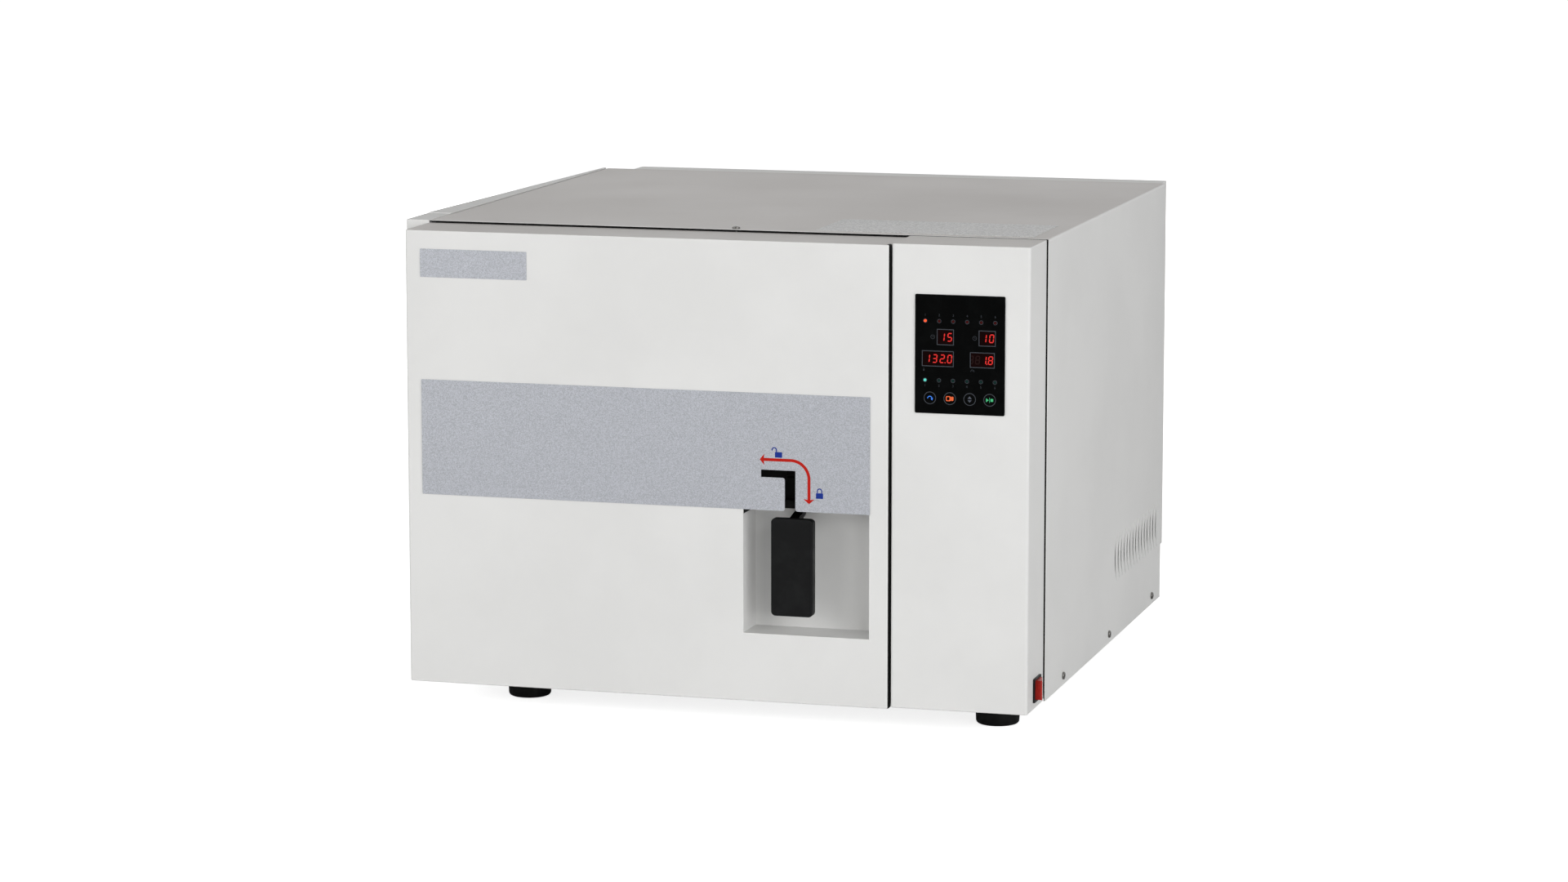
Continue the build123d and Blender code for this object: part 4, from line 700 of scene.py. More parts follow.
def settle_print(name, drawing, corner, thickness, material, body):
    """Turn a flat curve or text into a mesh that stands upright on a front face."""
    holder = bpy.data.objects.new(name + "_drawing", drawing)
    bpy.context.scene.collection.objects.link(holder)
    bpy.context.view_layer.update()
    mesh = bpy.data.meshes.new_from_object(holder)
    bpy.data.objects.remove(holder)
    upright = Matrix.Rotation(math.radians(90), 4, "X")
    mesh.transform(Matrix.Translation((corner.x, corner.y - thickness / 2, corner.z)) @ upright)
    mesh.materials.clear()
    mesh.materials.append(material)
    mesh.name = name
    piece = bpy.data.objects.new(name, mesh)
    bpy.context.scene.collection.objects.link(piece)
    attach(piece, body)
    return piece


def overlay_corner():
    return Vector((OVERLAY_LOW.x, OVERLAY_LOW.y, OVERLAY_HIGH.z))


def band_corner():
    return Vector((BAND_LOW.x, BAND_LOW.y, BAND_HIGH.z))


SEGMENTS = {
    "0": "abcdef", "1": "bc", "2": "abged", "3": "abgcd", "5": "afgcd", "8": "abcdefg",
}


def segment_loops(digit, left, top, width, height, stroke):
    """The lit segments of one digit as pointed bars, leaning a little to the right."""
    half, gap = stroke / 2, stroke * 0.12
    middle = height / 2
    level_bars = {"a": half, "g": middle, "d": height - half}
    upright_bars = {"f": (half, half, middle), "b": (width - half, half, middle),
                    "e": (half, middle, height - half), "c": (width - half, middle, height - half)}
    loops = []
    for name in SEGMENTS[digit]:
        if name in level_bars:
            down = level_bars[name]
            start, end = half + gap, width - half - gap
            bar = [(start, down), (start + half, down - half), (end - half, down - half), (end, down),
                   (end - half, down + half), (start + half, down + half)]
        else:
            right, start, end = upright_bars[name]
            start, end = start + gap, end - gap
            bar = [(right, start), (right + half, start + half), (right + half, end - half),
                   (right, end), (right - half, end - half), (right - half, start + half)]
        loops.append([(left + right_at + (height - down_at) * DIGIT_LEAN, top + down_at)
                      for right_at, down_at in bar])
    return loops


# Operators, one for the studio and one for each piece or group of like pieces


class AUTOCLAVE_OT_studio(bpy.types.Operator):
    """Set up the floor, the white surround, the soft lamps and the camera"""

    bl_idname = "autoclave.studio"
    bl_label = "Studio"

    def execute(self, context):
        settings = context.scene.autoclave_studio
        self.make_floor(context, settings)
        self.make_surround(context, settings)
        self.make_lamps(context, settings)
        self.make_camera(context, settings)
        context.scene.view_settings.view_transform = "Standard"
        return {"FINISHED"}

    def make_floor(self, context, settings):
        mesh = bpy.data.meshes.new("floor")
        corners = [(-FLOOR_REACH, -FLOOR_REACH, 0), (FLOOR_REACH, -FLOOR_REACH, 0),
                   (FLOOR_REACH, FLOOR_REACH, 0), (-FLOOR_REACH, FLOOR_REACH, 0)]
        mesh.from_pydata(corners, [], [(0, 1, 2, 3)])
        floor = bpy.data.objects.new("floor", mesh)
        context.scene.collection.objects.link(floor)
        material, tree, shader = start_finish("Studio floor", Roughness=0.9, Specular_IOR_Level=0.1)
        tone = noise(tree, object_place(tree), 0.6, detail=3.0, roughness=0.5)
        join(tree, blend_colours(tree, tone, (0.80, 0.80, 0.80), (0.83, 0.83, 0.83)),
             shader.inputs["Base Color"])
        path = tree.nodes.new("ShaderNodeLightPath").outputs
        seen = calculate(tree, "MAXIMUM", path["Is Camera Ray"], path["Is Transmission Ray"])
        feed(tree, shader.inputs["Emission Color"], WHITE)
        join(tree, calculate(tree, "MULTIPLY", seen, settings.floor_lift),
             shader.inputs["Emission Strength"])
        mesh.materials.append(material)

    def make_surround(self, context, settings):
        """White behind everything, even light for the object, and a dimmer front in its gloss."""
        world = bpy.data.worlds.new("White surround")
        context.scene.world = world
        world.use_nodes = True
        tree = world.node_tree
        tree.nodes.clear()
        path = tree.nodes.new("ShaderNodeLightPath").outputs
        heading = tree.nodes.new("ShaderNodeSeparateXYZ")
        join(tree, tree.nodes.new("ShaderNodeTexCoord").outputs["Generated"], heading.inputs[0])
        mirrored = rescale(tree, heading.outputs["Y"], -0.9, 0.1, settings.front_dim, 1.0)
        direct = calculate(tree, "MAXIMUM", path["Is Camera Ray"], path["Is Transmission Ray"])
        strength = tree.nodes.new("ShaderNodeMix")
        feed(tree, strength.inputs["Factor"], path["Is Glossy Ray"])
        even = rescale(tree, heading.outputs["Z"], 0.15, 0.95, settings.surround,
                       settings.surround * settings.overhead)
        feed(tree, strength.inputs["A"], even)
        feed(tree, strength.inputs["B"], mirrored)
        light = tree.nodes.new("ShaderNodeBackground")
        join(tree, strength.outputs["Result"], light.inputs["Strength"])
        backdrop = tree.nodes.new("ShaderNodeBackground")
        choose = tree.nodes.new("ShaderNodeMixShader")
        output = tree.nodes.new("ShaderNodeOutputWorld")
        for shade in (light, backdrop):
            feed(tree, shade.inputs["Color"], WHITE)
        join(tree, direct, choose.inputs[0])
        join(tree, light.outputs[0], choose.inputs[1])
        join(tree, backdrop.outputs[0], choose.inputs[2])
        join(tree, choose.outputs[0], output.inputs["Surface"])

    def make_lamps(self, context, settings):
        """The back lamp is kept out of the gloss, where it would show as a bright patch."""
        middle = Vector(LAMP_AIM)
        lamps = (("key_lamp", KEY_PLACE, settings.key_power, KEY_COLOUR),
                 ("side_lamp", SIDE_PLACE, settings.side_power, WHITE),
                 ("back_lamp", BACK_PLACE, settings.back_power, WHITE))
        for name, place, power, colour in lamps:
            light = bpy.data.lights.new(name, "AREA")
            light.shape = "RECTANGLE"
            light.size = LAMP_WIDTH
            light.size_y = LAMP_HEIGHT
            light.energy = power
            light.color = colour
            lamp = bpy.data.objects.new(name, light)
            lamp.location = place
            lamp.rotation_mode = "QUATERNION"
            lamp.rotation_quaternion = (middle - Vector(place)).to_track_quat("-Z", "Y")
            lamp.visible_glossy = name != "back_lamp"
            context.scene.collection.objects.link(lamp)

    def make_camera(self, context, settings):
        data = bpy.data.cameras.new("camera")
        data.sensor_width = 36.0
        data.lens = settings.lens
        data.clip_end = 200.0
        camera = bpy.data.objects.new("camera", data)
        camera.location = settings.camera_place
        camera.rotation_euler = (math.radians(90) - settings.camera_tilt, 0.0, settings.camera_turn)
        context.scene.collection.objects.link(camera)
        context.scene.camera = camera


class AUTOCLAVE_OT_paint(bpy.types.Operator):
    """Powder coat the cabinet, the door and the fascia"""

    bl_idname = "autoclave.paint"
    bl_label = "Cabinet paint"

    def execute(self, context):
        colours = context.scene.autoclave_colours
        outer = ("main_cover", "left_side_box", "hinge_post_cover", "rear_box", "control_fascia",
                 "door_shell")
        paints = {}
        for node_name in outer:
            paints[node_name] = powder_coat("Paint " + node_name, tuple(colours.paint),
                                            box_size(node_name), level=0.3)
            apply_finish(paints[node_name], node_name)
        # Painted shade on the tops of the cover, the door and the fascia.
        for node_name in SHADED_TOPS:
            self.lay_top_shade(paints[node_name], tuple(colours.film))
        cover = paints["main_cover"]
        # Painted shade along the inner half of the cover's front hem and just above the fascia, where the
        # gaps lie in shade.
        self.paint_shade(cover, self.hem_line(cover.node_tree))
        door = paints["door_shell"]
        # Painted shade down the door's closing edge, where the gap to the fascia lies in shade.
        self.paint_shade(door, self.door_gap_shade(door.node_tree))
        tub = powder_coat("Recess paint", tuple(colours.paint), box_size("handle_recess"),
                          roughness=0.30, dust=0.1, level=0.6)
        # Painted shade: the recess is black from just below the silver band up, where the pocket behind the
        # slot lies in shade.
        self.paint_shade(tub, self.above(tub.node_tree, BAND_LOW.z - RECESS_BLACK_DROP * MM))
        apply_finish(tub, "handle_recess")
        frame_paint = powder_coat("Frame paint", tuple(colours.inner_paint), box_size("front_frame"),
                                  roughness=0.48, dust=0.4)
        # Painted shade round the frame's edge and behind the gap beside the door, where the gaps lie in
        # shade.
        self.paint_shade(frame_paint, self.gap_shaded(frame_paint.node_tree))
        apply_finish(frame_paint, "front_frame")
        inner = ("rear_panel", "door_liner", "door_carrier")
        for node_name in inner:
            paint = powder_coat("Inner paint " + node_name, tuple(colours.inner_paint),
                                box_size(node_name), roughness=0.48, dust=0.4)
            apply_finish(paint, node_name)
        return {"FINISHED"}

    def lay_top_shade(self, paint, colour):
        """Lay nearly even warm painted shade over the faces that look up, where the tops stand darker for
        how the light falls on them.
        """
        tree = paint.node_tree
        target = tree.nodes["Principled BSDF"].inputs["Base Color"]
        upward = looking_up(tree, 0.6, 0.98)
        patches = noise(tree, object_place(tree), TOP_SHADE_PATCH_SCALE)
        mask = calculate(tree, "MULTIPLY", upward, rescale(tree, patches, 0.3, 0.7, 1.0, TOP_SHADE_LEFT))
        join(tree, blend_colours(tree, mask, target.links[0].from_socket, colour), target)

    def above(self, tree, level):
        """1 where the surface is higher than the level, across a narrow soft line."""
        soft = RECESS_BLACK_SOFTNESS * MM
        return rescale(tree, object_axes(tree)["Z"], level - soft, level + soft)

    def gap_shaded(self, tree):
        """1 on painted shade: round the frame's edge and behind the gap beside the door, where the gaps lie
        in shade.
        """
        axes = object_axes(tree)
        lines = [("X", FRAME_LOW.x), ("X", FRAME_HIGH.x), ("Z", FRAME_LOW.z), ("Z", FRAME_HIGH.z),
                 ("X", FASCIA_LOW.x)]
        mask = 0.0
        for axis, line in lines:
            apart = calculate(tree, "ABSOLUTE", calculate(tree, "SUBTRACT", axes[axis], line))
            near = calculate(tree, "LESS_THAN", apart, GAP_SHADE_WIDTH * MM)
            mask = calculate(tree, "MAXIMUM", mask, near)
        return mask

    def within(self, tree, limits):
        """1 where each listed coordinate lies between its two values."""
        axes = object_axes(tree)
        mask = 1.0
        for axis, low, high in limits:
            beyond = calculate(tree, "GREATER_THAN", axes[axis], low)
            before = calculate(tree, "LESS_THAN", axes[axis], high)
            mask = calculate(tree, "MULTIPLY", mask, calculate(tree, "MULTIPLY", beyond, before))
        return mask

    def hem_line(self, tree):
        """1 on the shaded parts of the cover's front hem: its inner half, and just above the fascia."""
        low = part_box("main_cover")[0]
        face = ("Y", low.y - MM, low.y + HEM_FACE_DEPTH * MM)
        reach = HEM_BLACK * MM
        inner = self.within(tree, [("X", PAN_LOW.x - reach, PAN_HIGH.x + reach), face,
                                   ("Z", low.z - MM, FRAME_HIGH.z + reach)])
        fascia_line = FASCIA_HIGH.z + HEM_BLACK_OVER_FASCIA * MM
        over_fascia = self.within(tree, [("X", FASCIA_LOW.x, PAN_HIGH.x + reach), face,
                                         ("Z", FRAME_HIGH.z, fascia_line)])
        return calculate(tree, "MAXIMUM", inner, over_fascia)

    def door_gap_shade(self, tree):
        """1 on painted shade down the door's closing edge, where the gap to the fascia lies in shade."""
        low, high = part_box("door_shell")
        return self.within(tree, [("X", high.x - DOOR_SHADE_REACH * MM, high.x + MM),
                                  ("Y", low.y + DOOR_SHADE_START * MM, low.y + DOOR_SHADE_END * MM)])

    def paint_shade(self, paint, mask):
        """Lay painted shade in matt black over a paint where the mask is 1."""
        tree = paint.node_tree
        shader = tree.nodes["Principled BSDF"]
        colour = shader.inputs["Base Color"]
        gloss = shader.inputs["Roughness"]
        painted = colour.links[0].from_socket
        satin = gloss.links[0].from_socket
        join(tree, blend_colours(tree, mask, painted, PAINTED_SHADE_BLACK), colour)
        join(tree, rescale(tree, mask, 0.0, 1.0, satin, MATT_ROUGHNESS), gloss)


class AUTOCLAVE_OT_silver(bpy.types.Operator):
    """Finish the speckled silver band, the name plate and the label on the cover"""

    bl_idname = "autoclave.silver"
    bl_label = "Silver film"

    def execute(self, context):
        colours = context.scene.autoclave_colours
        apply_finish(silver_film("Silver film", tuple(colours.silver)), "door_band", "door_name_plate")
        label = silver_film("Label film", tuple(colours.label), flake_scale=700.0, metallic=0.0, level=0.2)
        apply_finish(label, "cover_label")
        return {"FINISHED"}


class AUTOCLAVE_OT_metalwork(bpy.types.Operator):
    """Finish the zinc plated frames and brackets, the screws, the power supply and the fins"""

    bl_idname = "autoclave.metalwork"
    bl_label = "Frames and screws"

    def execute(self, context):
        zinc = brushed_metal("Zinc plate", (0.60, 0.61, 0.60), stretch=(1.0, 4.0, 4.0), roughness=0.38)
        nickel = brushed_metal("Nickel screws", (0.20, 0.195, 0.185), stretch=EVEN_GRAIN,
                               roughness=0.28, line_scale=400.0)
        fins = brushed_metal("Fin aluminium", (0.70, 0.71, 0.72), stretch=(6.0, 1.0, 1.0), roughness=0.36)
        enamel = powder_coat("Grey enamel", (0.11, 0.115, 0.12), box_size("power_supply"), roughness=0.5)
        apply_finish(zinc, *slot_nodes("zinc_steel"))
        apply_finish(nickel, *slot_nodes("bright_screws"))
        apply_finish(fins, *slot_nodes("fin_aluminium"))
        apply_finish(enamel, *slot_nodes("power_steel"))
        return {"FINISHED"}


class AUTOCLAVE_OT_chamber(bpy.types.Operator):
    """Finish the stainless chamber, its lid, trays and rack, the gasket, the heater and the lagging"""

    bl_idname = "autoclave.chamber"
    bl_label = "Chamber"

    def execute(self, context):
        stainless = brushed_metal("Brushed stainless", STAINLESS, stretch=(1.0, 14.0, 1.0),
                                  roughness=0.30, line_scale=45.0)
        plate = brushed_metal("Brushed lid", STAINLESS, stretch=(1.0, 1.0, 14.0),
                              roughness=0.30, line_scale=45.0)
        foil = brushed_metal("Heater foil", (0.52, 0.49, 0.45), stretch=(5.0, 1.0, 5.0),
                             roughness=0.42, line_scale=90.0)
        silicone = moulded_plastic("Gasket silicone", (0.56, 0.54, 0.50), roughness=0.6,
                                   texture_scale=900.0, depth=0.08)
        apply_finish(stainless, *slot_nodes("stainless_steel"))
        apply_finish(plate, "pressure_lid", "chamber_flange")
        apply_finish(foil, *slot_nodes("heater_foil"))
        apply_finish(silicone, *slot_nodes("gasket_silicone"))
        apply_finish(self.felt(), *slot_nodes("lagging_felt"))
        return {"FINISHED"}

    def felt(self):
        """Pressed fibre: two crossed sets of fine strands over soft clumps."""
        material, tree, shader = start_finish(
            "Lagging felt", Roughness=0.95, Specular_IOR_Level=0.1, Sheen_Weight=0.3)
        along = effect(tree, "Brushed Grain", Stretch=(1.0, 6.0, 1.0), Line_Scale=120.0)
        across = effect(tree, "Brushed Grain", Stretch=(6.0, 1.0, 6.0), Line_Scale=110.0)
        strands = calculate(tree, "MAXIMUM", along["Height"], across["Height"])
        shade = rescale(tree, strands, 0.45, 0.75)
        join(tree, blend_colours(tree, shade, (0.42, 0.39, 0.33), (0.62, 0.59, 0.52)),
             shader.inputs["Base Color"])
        join(tree, bump(tree, strands, strength=0.6, distance=0.0012), shader.inputs["Normal"])
        return material


class AUTOCLAVE_OT_plumbing(bpy.types.Operator):
    """Finish the brass pipes and valves, the water tank, the fan, the pump and the inlet"""

    bl_idname = "autoclave.plumbing"
    bl_label = "Water and air parts"

    def execute(self, context):
        brass = brushed_metal("Dull brass", (0.56, 0.40, 0.18), stretch=EVEN_GRAIN,
                              roughness=0.36, line_scale=300.0)
        tank = moulded_plastic("Tank plastic", (0.62, 0.65, 0.67), roughness=0.42,
                               texture_scale=300.0, depth=0.08, dust=0.3)
        black = moulded_plastic("Black plastic", (0.006, 0.006, 0.0065), roughness=0.5,
                                texture_scale=1400.0, depth=0.2, dust=0.08, level=0.2)
        steel = powder_coat("Satin black", (0.0025, 0.0025, 0.0026), (0.13, 0.01, 0.13),
                            roughness=0.4, dust=0.02, level=0.12)
        apply_finish(brass, *slot_nodes("pipe_brass"))
        apply_finish(tank, *slot_nodes("tank_plastic"))
        apply_finish(black, *slot_nodes("black_plastic"))
        apply_finish(steel, *slot_nodes("black_steel"))
        return {"FINISHED"}


class AUTOCLAVE_OT_feet(bpy.types.Operator):
    """Finish the four black rubber feet"""

    bl_idname = "autoclave.feet"
    bl_label = "Rubber feet"

    def execute(self, context):
        rubber = moulded_plastic("Foot rubber", (0.004, 0.0042, 0.004), roughness=0.55,
                                 texture_scale=700.0, depth=0.2, level=0.12)
        apply_finish(rubber, *slot_nodes("foot_rubber"))
        return {"FINISHED"}


class AUTOCLAVE_OT_grip(bpy.types.Operator):
    """Finish the moulded black grip of the door handle"""

    bl_idname = "autoclave.grip"
    bl_label = "Door grip"

    def execute(self, context):
        colour = tuple(context.scene.autoclave_colours.grip)
        plastic = moulded_plastic("Grip plastic", colour, roughness=0.42, texture_scale=1800.0,
                                  depth=0.12, level=0.12)
        apply_finish(plastic, "handle_grip")
        return {"FINISHED"}


class AUTOCLAVE_OT_panel_parts(bpy.types.Operator):
    """Finish the gloss overlay, the displays, both lamp rows, the buttons and the circuit board"""

    bl_idname = "autoclave.panel_parts"
    bl_label = "Control panel parts"

    def execute(self, context):
        colours = context.scene.autoclave_colours
        gloss = self.gloss_film("Gloss overlay", tuple(colours.overlay))
        apply_finish(gloss, "control_overlay", *BUTTON_BODIES)
        apply_finish(self.gloss_film("Display lens", (0.006, 0.0012, 0.0012)), "display_modules")
        apply_finish(lamp_row("Red lamps", (0.92, 0.075, 0.02), (0.055, 0.003, 0.003)), "phase_lamps")
        apply_finish(lamp_row("Green lamps", (0.07, 0.44, 0.37), (0.003, 0.026, 0.022)), "program_lamps")
        board = moulded_plastic("Solder mask", (0.03, 0.16, 0.07), roughness=0.35,
                                texture_scale=500.0, depth=0.1)
        apply_finish(board, "control_board")
        return {"FINISHED"}

    def gloss_film(self, name, colour):
        """Clear-faced film, with faint wiping marks in its gloss."""
        material, tree, shader = start_finish(name, Specular_IOR_Level=0.03)
        marks = effect(tree, "Moulded Texture", Texture_Scale=500.0, Mark_Scale=45.0)
        lighter = tuple(channel * 1.6 for channel in colour)
        join(tree, blend_colours(tree, marks["Marks"], colour, lighter), shader.inputs["Base Color"])
        join(tree, rescale(tree, marks["Marks"], 0.0, 1.0, 0.16, 0.26), shader.inputs["Roughness"])
        join(tree, bump(tree, marks["Height"], strength=0.03, distance=0.0001), shader.inputs["Normal"])
        return material


class AUTOCLAVE_OT_mains_switch(bpy.types.Operator):
    """Finish the red mains rocker"""

    bl_idname = "autoclave.mains_switch"
    bl_label = "Mains switch"

    def execute(self, context):
        colour = tuple(context.scene.autoclave_colours.rocker)
        plastic = moulded_plastic("Rocker plastic", colour, roughness=0.28, texture_scale=900.0,
                                  depth=0.05)
        apply_finish(plastic, "switch_rocker")
        return {"FINISHED"}


class AUTOCLAVE_OT_lock_arrow(bpy.types.Operator):
    """Print the red arrow that shows how the grip moves round the slot"""

    bl_idname = "autoclave.lock_arrow"
    bl_label = "Lock arrow"

    def execute(self, context):
        colours = context.scene.autoclave_colours
        ink = printed_ink("Arrow ink", tuple(colours.arrow))
        print_graphic("lock_arrow", [self.outline(context.scene.autoclave_sizes)], band_corner(),
                      ink, "door")
        return {"FINISHED"}

    def outline(self, sizes):
        """From the left tip round the outside of the bend to the lower tip, and back inside."""
        stroke = sizes.arrow_stroke / MM
        head = sizes.arrow_head_width / MM / 2
        length = sizes.arrow_head_length / MM
        bend = sizes.arrow_bend / MM
        tip_right, level = ARROW_LEFT_TIP
        shaft_right, tip_down = ARROW_LOW_TIP
        centre = (shaft_right - bend, level + bend)
        outside = arc_points(*centre, bend + stroke / 2, -90, 0)
        inside = arc_points(*centre, bend - stroke / 2, 0, -90)
        notch = 0.6
        loop = [(tip_right, level), (tip_right + length, level - head),
                (tip_right + length - notch, level - stroke / 2)]
        loop += outside
        loop += [(shaft_right + stroke / 2, tip_down - length + notch),
                 (shaft_right + head, tip_down - length), (shaft_right, tip_down),
                 (shaft_right - head, tip_down - length),
                 (shaft_right - stroke / 2, tip_down - length + notch)]
        loop += inside
        loop += [(tip_right + length - notch, level + stroke / 2), (tip_right + length, level + head)]
        return loop


class AUTOCLAVE_OT_padlocks(bpy.types.Operator):
    """Print an open and a closed padlock beside the two ends of the arrow"""

    bl_idname = "autoclave.padlocks"
    bl_label = "Padlock symbols"

    def execute(self, context):
        ink = printed_ink("Padlock ink", tuple(context.scene.autoclave_colours.padlock))
        for name, place, lifted in (("padlock_open", PADLOCK_OPEN, True),
                                    ("padlock_closed", PADLOCK_CLOSED, False)):
            print_graphic(name, self.padlock(place, lifted), band_corner(), ink, "door")
        return {"FINISHED"}

    def padlock(self, place, lifted):
        """A body and a shackle; the open one's shackle stands lifted and swung out to the left."""
        right, down = place
        width, height, line, reach = 8.0, 6.0, 1.25, 2.4
        lift, clear, free_leg = 2.2, 0.1, 0.9
        body = rounded_loop(right - width / 2, down, width, height, radius=0.7)
        swing = -2 * reach if lifted else 0.0
        near_foot = down - clear
        far_foot = near_foot - lift + free_leg if lifted else near_foot
        bow = arc_points(right + swing, down - lift, radius=reach, start=180, end=360)
        legs = [(right + swing - reach, far_foot), *bow, (right + swing + reach, near_foot)]
        return [body, stroke_loop(legs, width=line)]


class AUTOCLAVE_OT_panel_lines(bpy.types.Operator):
    """Print the frames of the displays, the rings of the lamps and buttons, and small numerals"""

    bl_idname = "autoclave.panel_lines"
    bl_label = "Panel lines"

    def execute(self, context):
        sizes = context.scene.autoclave_sizes
        ink = printed_ink("Panel line ink", tuple(context.scene.autoclave_colours.panel_line))
        corner = overlay_corner()
        print_graphic("display_frames", self.frames(sizes.window_line / MM), corner, ink, "cabinet")
        print_graphic("lamp_rings", self.lamp_rings(sizes.lamp_ring / MM), corner, ink, "cabinet")
        print_graphic("button_rings", self.button_rings(sizes.button_ring / MM), corner, ink, "cabinet")
        dim = printed_ink("Numeral ink", tuple(channel * 0.7 for channel in
                                               context.scene.autoclave_colours.panel_line))
        for row, down in enumerate(NUMERAL_ROWS):
            self.numerals("lamp_numerals_" + str(row + 1), down, sizes, dim)
        print_graphic("reading_symbols", self.symbols(), corner, dim, "cabinet")
        return {"FINISHED"}

    def frames(self, line):
        """A line round each window, which also covers the very edge of the overlay's opening."""
        lap = 0.02
        loops = []
        for left, top, width, height in WINDOWS.values():
            loops.append(rounded_loop(left - line, top - line, width + 2 * line, height + 2 * line,
                                      radius=0.5))
            loops.append(rounded_loop(left + lap, top + lap, width - 2 * lap, height - 2 * lap,
                                      radius=0.1))
        return loops

    def lamp_rings(self, line):
        loops = []
        for down in LAMP_ROWS:
            for right in LAMP_COLUMNS:
                loops.append(circle_loop(right, down, LENS_RADIUS + line, count=32))
                loops.append(circle_loop(right, down, LENS_RADIUS, count=32))
        return loops

    def button_rings(self, line):
        loops = []
        for right in BUTTON_COLUMNS:
            loops.append(circle_loop(right, BUTTON_ROW, BUTTON_RADIUS + line, count=64))
            loops.append(circle_loop(right, BUTTON_ROW, BUTTON_RADIUS, count=64))
        return loops

    def numerals(self, name, down, sizes, ink):
        """The numbers one to six beside a row of lamps, each a text of its own."""
        corner = overlay_corner()
        for index, right in enumerate(LAMP_COLUMNS):
            text = bpy.data.curves.new(name, "FONT")
            text.body = str(index + 1)
            text.size = sizes.numeral * NUMERAL_FONT_SCALE
            text.align_x = "CENTER"
            text.align_y = "CENTER"
            text.extrude = sizes.ink_thickness / 2
            place = corner + Vector((right * MM, 0.0, -down * MM))
            settle_print(name + "_" + str(index + 1), text, place, sizes.ink_thickness, ink, "cabinet")

    def symbols(self):
        """A clock beside each timer, and a thermometer and a gauge below the two wide displays."""
        loops = []
        for right, down in CLOCK_PLACES:
            hands = [(right, down - 1.3), (right, down + 0.15), (right + 1.0, down + 0.15)]
            loops += [circle_loop(right, down, radius, count=32) for radius in CLOCK_RADII]
            loops.append(stroke_loop(hands, width=SYMBOL_LINE))
        right, down = THERMOMETER_PLACE
        loops += [circle_loop(right, down + 0.9, 0.85, count=24),
                  stroke_loop([(right, down - 1.6), (right, down + 0.05)], width=0.5)]
        right, down = GAUGE_PLACE
        dial = arc_points(right, down + 0.6, radius=1.7, start=160, end=380)
        loops += [stroke_loop(dial, width=SYMBOL_LINE),
                  stroke_loop([(right, down + 0.6), (right + 0.9, down - 0.4)], width=SYMBOL_LINE)]
        return loops


class AUTOCLAVE_OT_readings(bpy.types.Operator):
    """Draw the lit and the unlit digits in the four displays"""

    bl_idname = "autoclave.readings"
    bl_label = "Display digits"

    def execute(self, context):
        sizes = context.scene.autoclave_sizes
        lit_red = glowing("Lit digits", tuple(context.scene.autoclave_colours.digit), strength=1.0)
        unlit = printed_ink("Unlit digits", (0.014, 0.0028, 0.0026))
        corner = Vector((OVERLAY_LOW.x, DISPLAY_LOW.y, OVERLAY_HIGH.z))
        for window, reading in READINGS.items():
            lit, dark = self.digit_loops(window, reading, sizes)
            print_graphic("reading_" + window, lit, corner, lit_red, "cabinet")
            if dark:
                print_graphic("unlit_" + window, dark, corner, unlit, "cabinet")
        return {"FINISHED"}

    def digit_loops(self, window, reading, sizes):
        """Digits from the window's right side to its left; the first few places may be unlit."""
        left, top, width, height = WINDOWS[window]
        digit_height, digit_width = sizes.digit_height / MM, sizes.digit_width / MM
        stroke = sizes.segment / MM
        pitch = NARROW_PITCH.get(window, sizes.digit_pitch / MM)
        digit_top = top + (height - digit_height) / 2
        right_edge = left + width - DIGIT_MARGIN - digit_height * DIGIT_LEAN
        lit, dark = [], []
        digits = [mark for mark in reading if mark != "."]
        for place, digit in enumerate(digits):
            cell = right_edge - digit_width - (len(digits) - 1 - place) * pitch
            loops = segment_loops(digit, cell, digit_top, digit_width, digit_height, stroke)
            target = dark if place < UNLIT_PLACES.get(window, 0) else lit
            target.extend(loops)
        point = POINT_AFTER.get(window)
        if point is not None:
            cell = right_edge - (len(digits) - 1 - point) * pitch
            lit.append(circle_loop(cell + POINT_RIGHT, digit_top + digit_height - POINT_RISE,
                                   POINT_RADIUS, count=20))
        return lit, dark


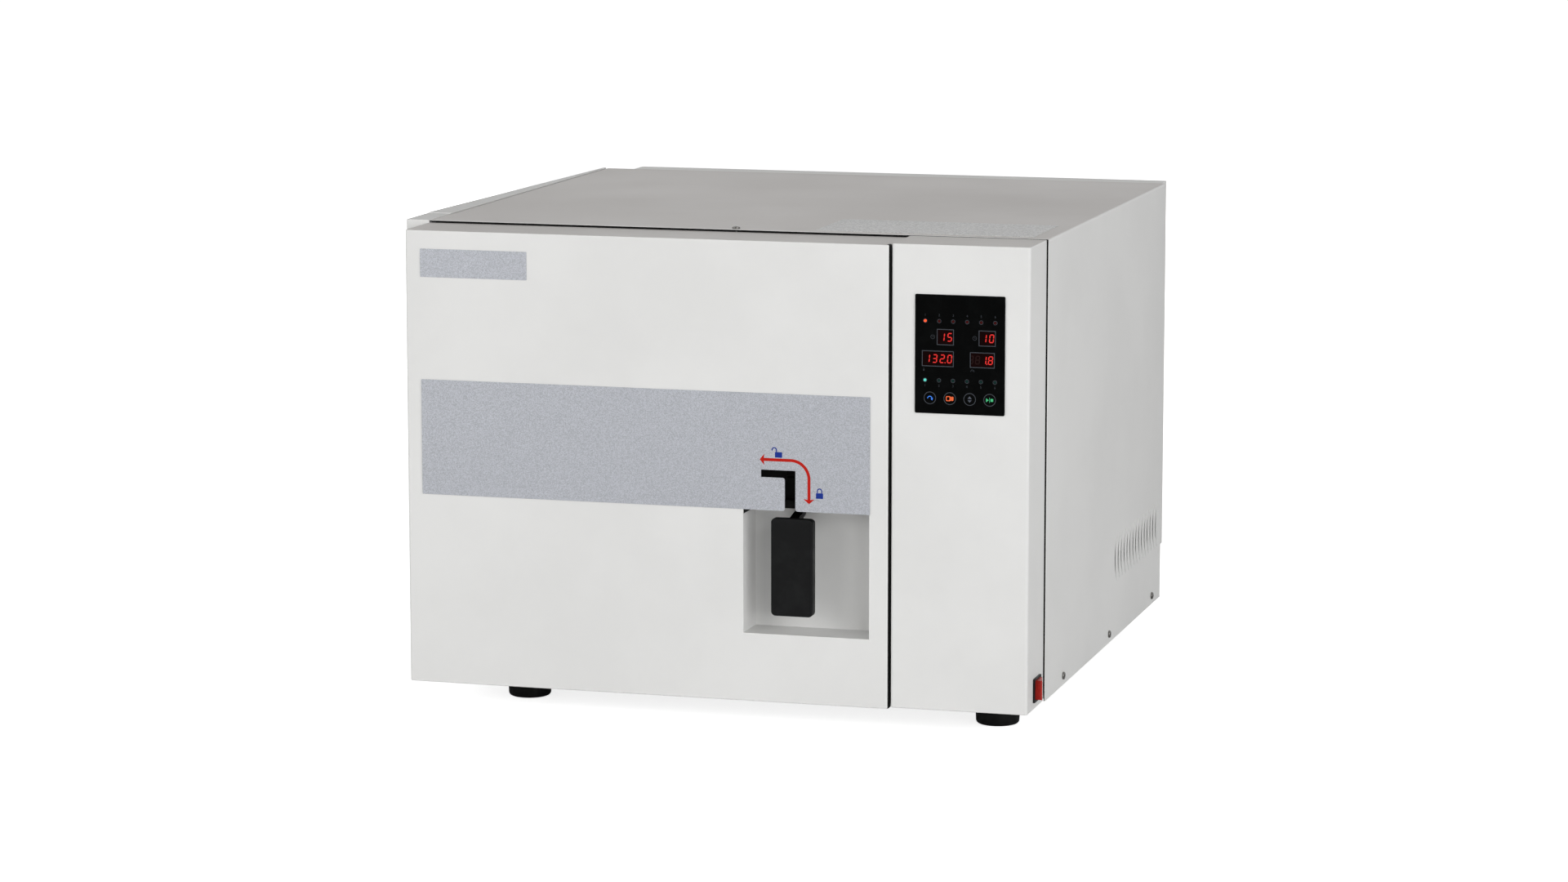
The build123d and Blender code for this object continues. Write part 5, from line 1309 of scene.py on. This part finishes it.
class AUTOCLAVE_OT_button_icons(bpy.types.Operator):
    """Print the coloured icons on the four push buttons"""

    bl_idname = "autoclave.button_icons"
    bl_label = "Button icons"

    def execute(self, context):
        blue = glowing("Blue icon", (0.03, 0.20, 0.80), strength=0.75, body_colour=(0.02, 0.10, 0.4))
        orange = glowing("Orange icon", (0.62, 0.085, 0.018), strength=0.75, body_colour=(0.4, 0.06, 0.01))
        grey = printed_ink("Grey icon", (0.085, 0.095, 0.12))
        green = glowing("Green icon", (0.04, 0.38, 0.15), strength=0.75, body_colour=(0.02, 0.25, 0.1))
        icons = ((self.curved_arrow(), blue), (self.dryer(), orange), (self.up_down(), grey),
                 (self.run_stop(), green))
        for body, (loops, ink) in zip(BUTTON_BODIES, icons):
            low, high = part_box(body)
            middle = Vector(((low.x + high.x) / 2, low.y, (low.z + high.z) / 2))
            print_graphic("icon_" + body, loops, middle, ink, body)
        return {"FINISHED"}

    def curved_arrow(self):
        """A clockwise arc over the top, with its head at the right."""
        arc = stroke_loop(arc_points(0.0, 0.6, radius=2.4, start=180, end=350), width=0.85)
        head = [(1.0, 0.9), (3.4, -0.4), (2.9, 2.6)]
        return [arc, head]

    def dryer(self):
        """A rounded body with an inner window and a stepped nozzle to its right."""
        body = rounded_loop(-4.1, -2.7, 5.2, 5.4, radius=1.2)
        hollow = rounded_loop(-3.2, -1.75, 3.1, 3.5, radius=0.8)
        nozzle = [(1.3, -2.0), (2.6, -2.0), (2.6, -2.6), (4.2, -1.6), (4.2, 1.6), (2.6, 2.6), (2.6, 2.0),
                  (1.3, 2.0)]
        return [body, hollow, nozzle]

    def up_down(self):
        upper = [(0.0, -3.4), (2.3, -0.6), (-2.3, -0.6)]
        lower = [(0.0, 3.4), (2.3, 0.8), (-2.3, 0.8)]
        return [upper, lower]

    def run_stop(self):
        play = [(-3.8, -2.1), (-0.9, 0.0), (-3.8, 2.1)]
        bar = [(-0.3, -2.7), (0.1, -2.7), (0.1, 2.7), (-0.3, 2.7)]
        stop = [(1.0, -1.5), (3.9, -1.5), (3.9, 1.5), (1.0, 1.5)]
        return [play, bar, stop]


class AUTOCLAVE_PT_panel(bpy.types.Panel):
    """Lists the operators of this file"""

    bl_idname = "AUTOCLAVE_PT_panel"
    bl_label = "Steam autoclave"
    bl_space_type = "VIEW_3D"
    bl_region_type = "UI"
    bl_category = "Autoclave"

    def draw(self, context):
        for operator in OPERATORS:
            self.layout.operator(operator.bl_idname)


OPERATORS = (
    AUTOCLAVE_OT_studio, AUTOCLAVE_OT_paint, AUTOCLAVE_OT_silver, AUTOCLAVE_OT_metalwork,
    AUTOCLAVE_OT_chamber, AUTOCLAVE_OT_plumbing, AUTOCLAVE_OT_feet, AUTOCLAVE_OT_grip,
    AUTOCLAVE_OT_panel_parts, AUTOCLAVE_OT_mains_switch, AUTOCLAVE_OT_lock_arrow,
    AUTOCLAVE_OT_padlocks, AUTOCLAVE_OT_panel_lines, AUTOCLAVE_OT_readings,
    AUTOCLAVE_OT_button_icons,
)
SETTINGS = {
    "autoclave_colours": AutoclaveColours,
    "autoclave_sizes": AutoclaveSizes,
    "autoclave_studio": AutoclaveStudio,
}


def register():
    for holder in (*SETTINGS.values(), *OPERATORS, AUTOCLAVE_PT_panel):
        bpy.utils.register_class(holder)
    for name, holder in SETTINGS.items():
        setattr(bpy.types.Scene, name, PointerProperty(type=holder))


def unregister():
    for name in SETTINGS:
        delattr(bpy.types.Scene, name)
    for holder in (AUTOCLAVE_PT_panel, *reversed(OPERATORS), *reversed(SETTINGS.values())):
        bpy.utils.unregister_class(holder)


def main():
    register()
    for operator in OPERATORS:
        group, call = operator.bl_idname.split(".")
        getattr(getattr(bpy.ops, group), call)()


if __name__ == "__main__":
    main()
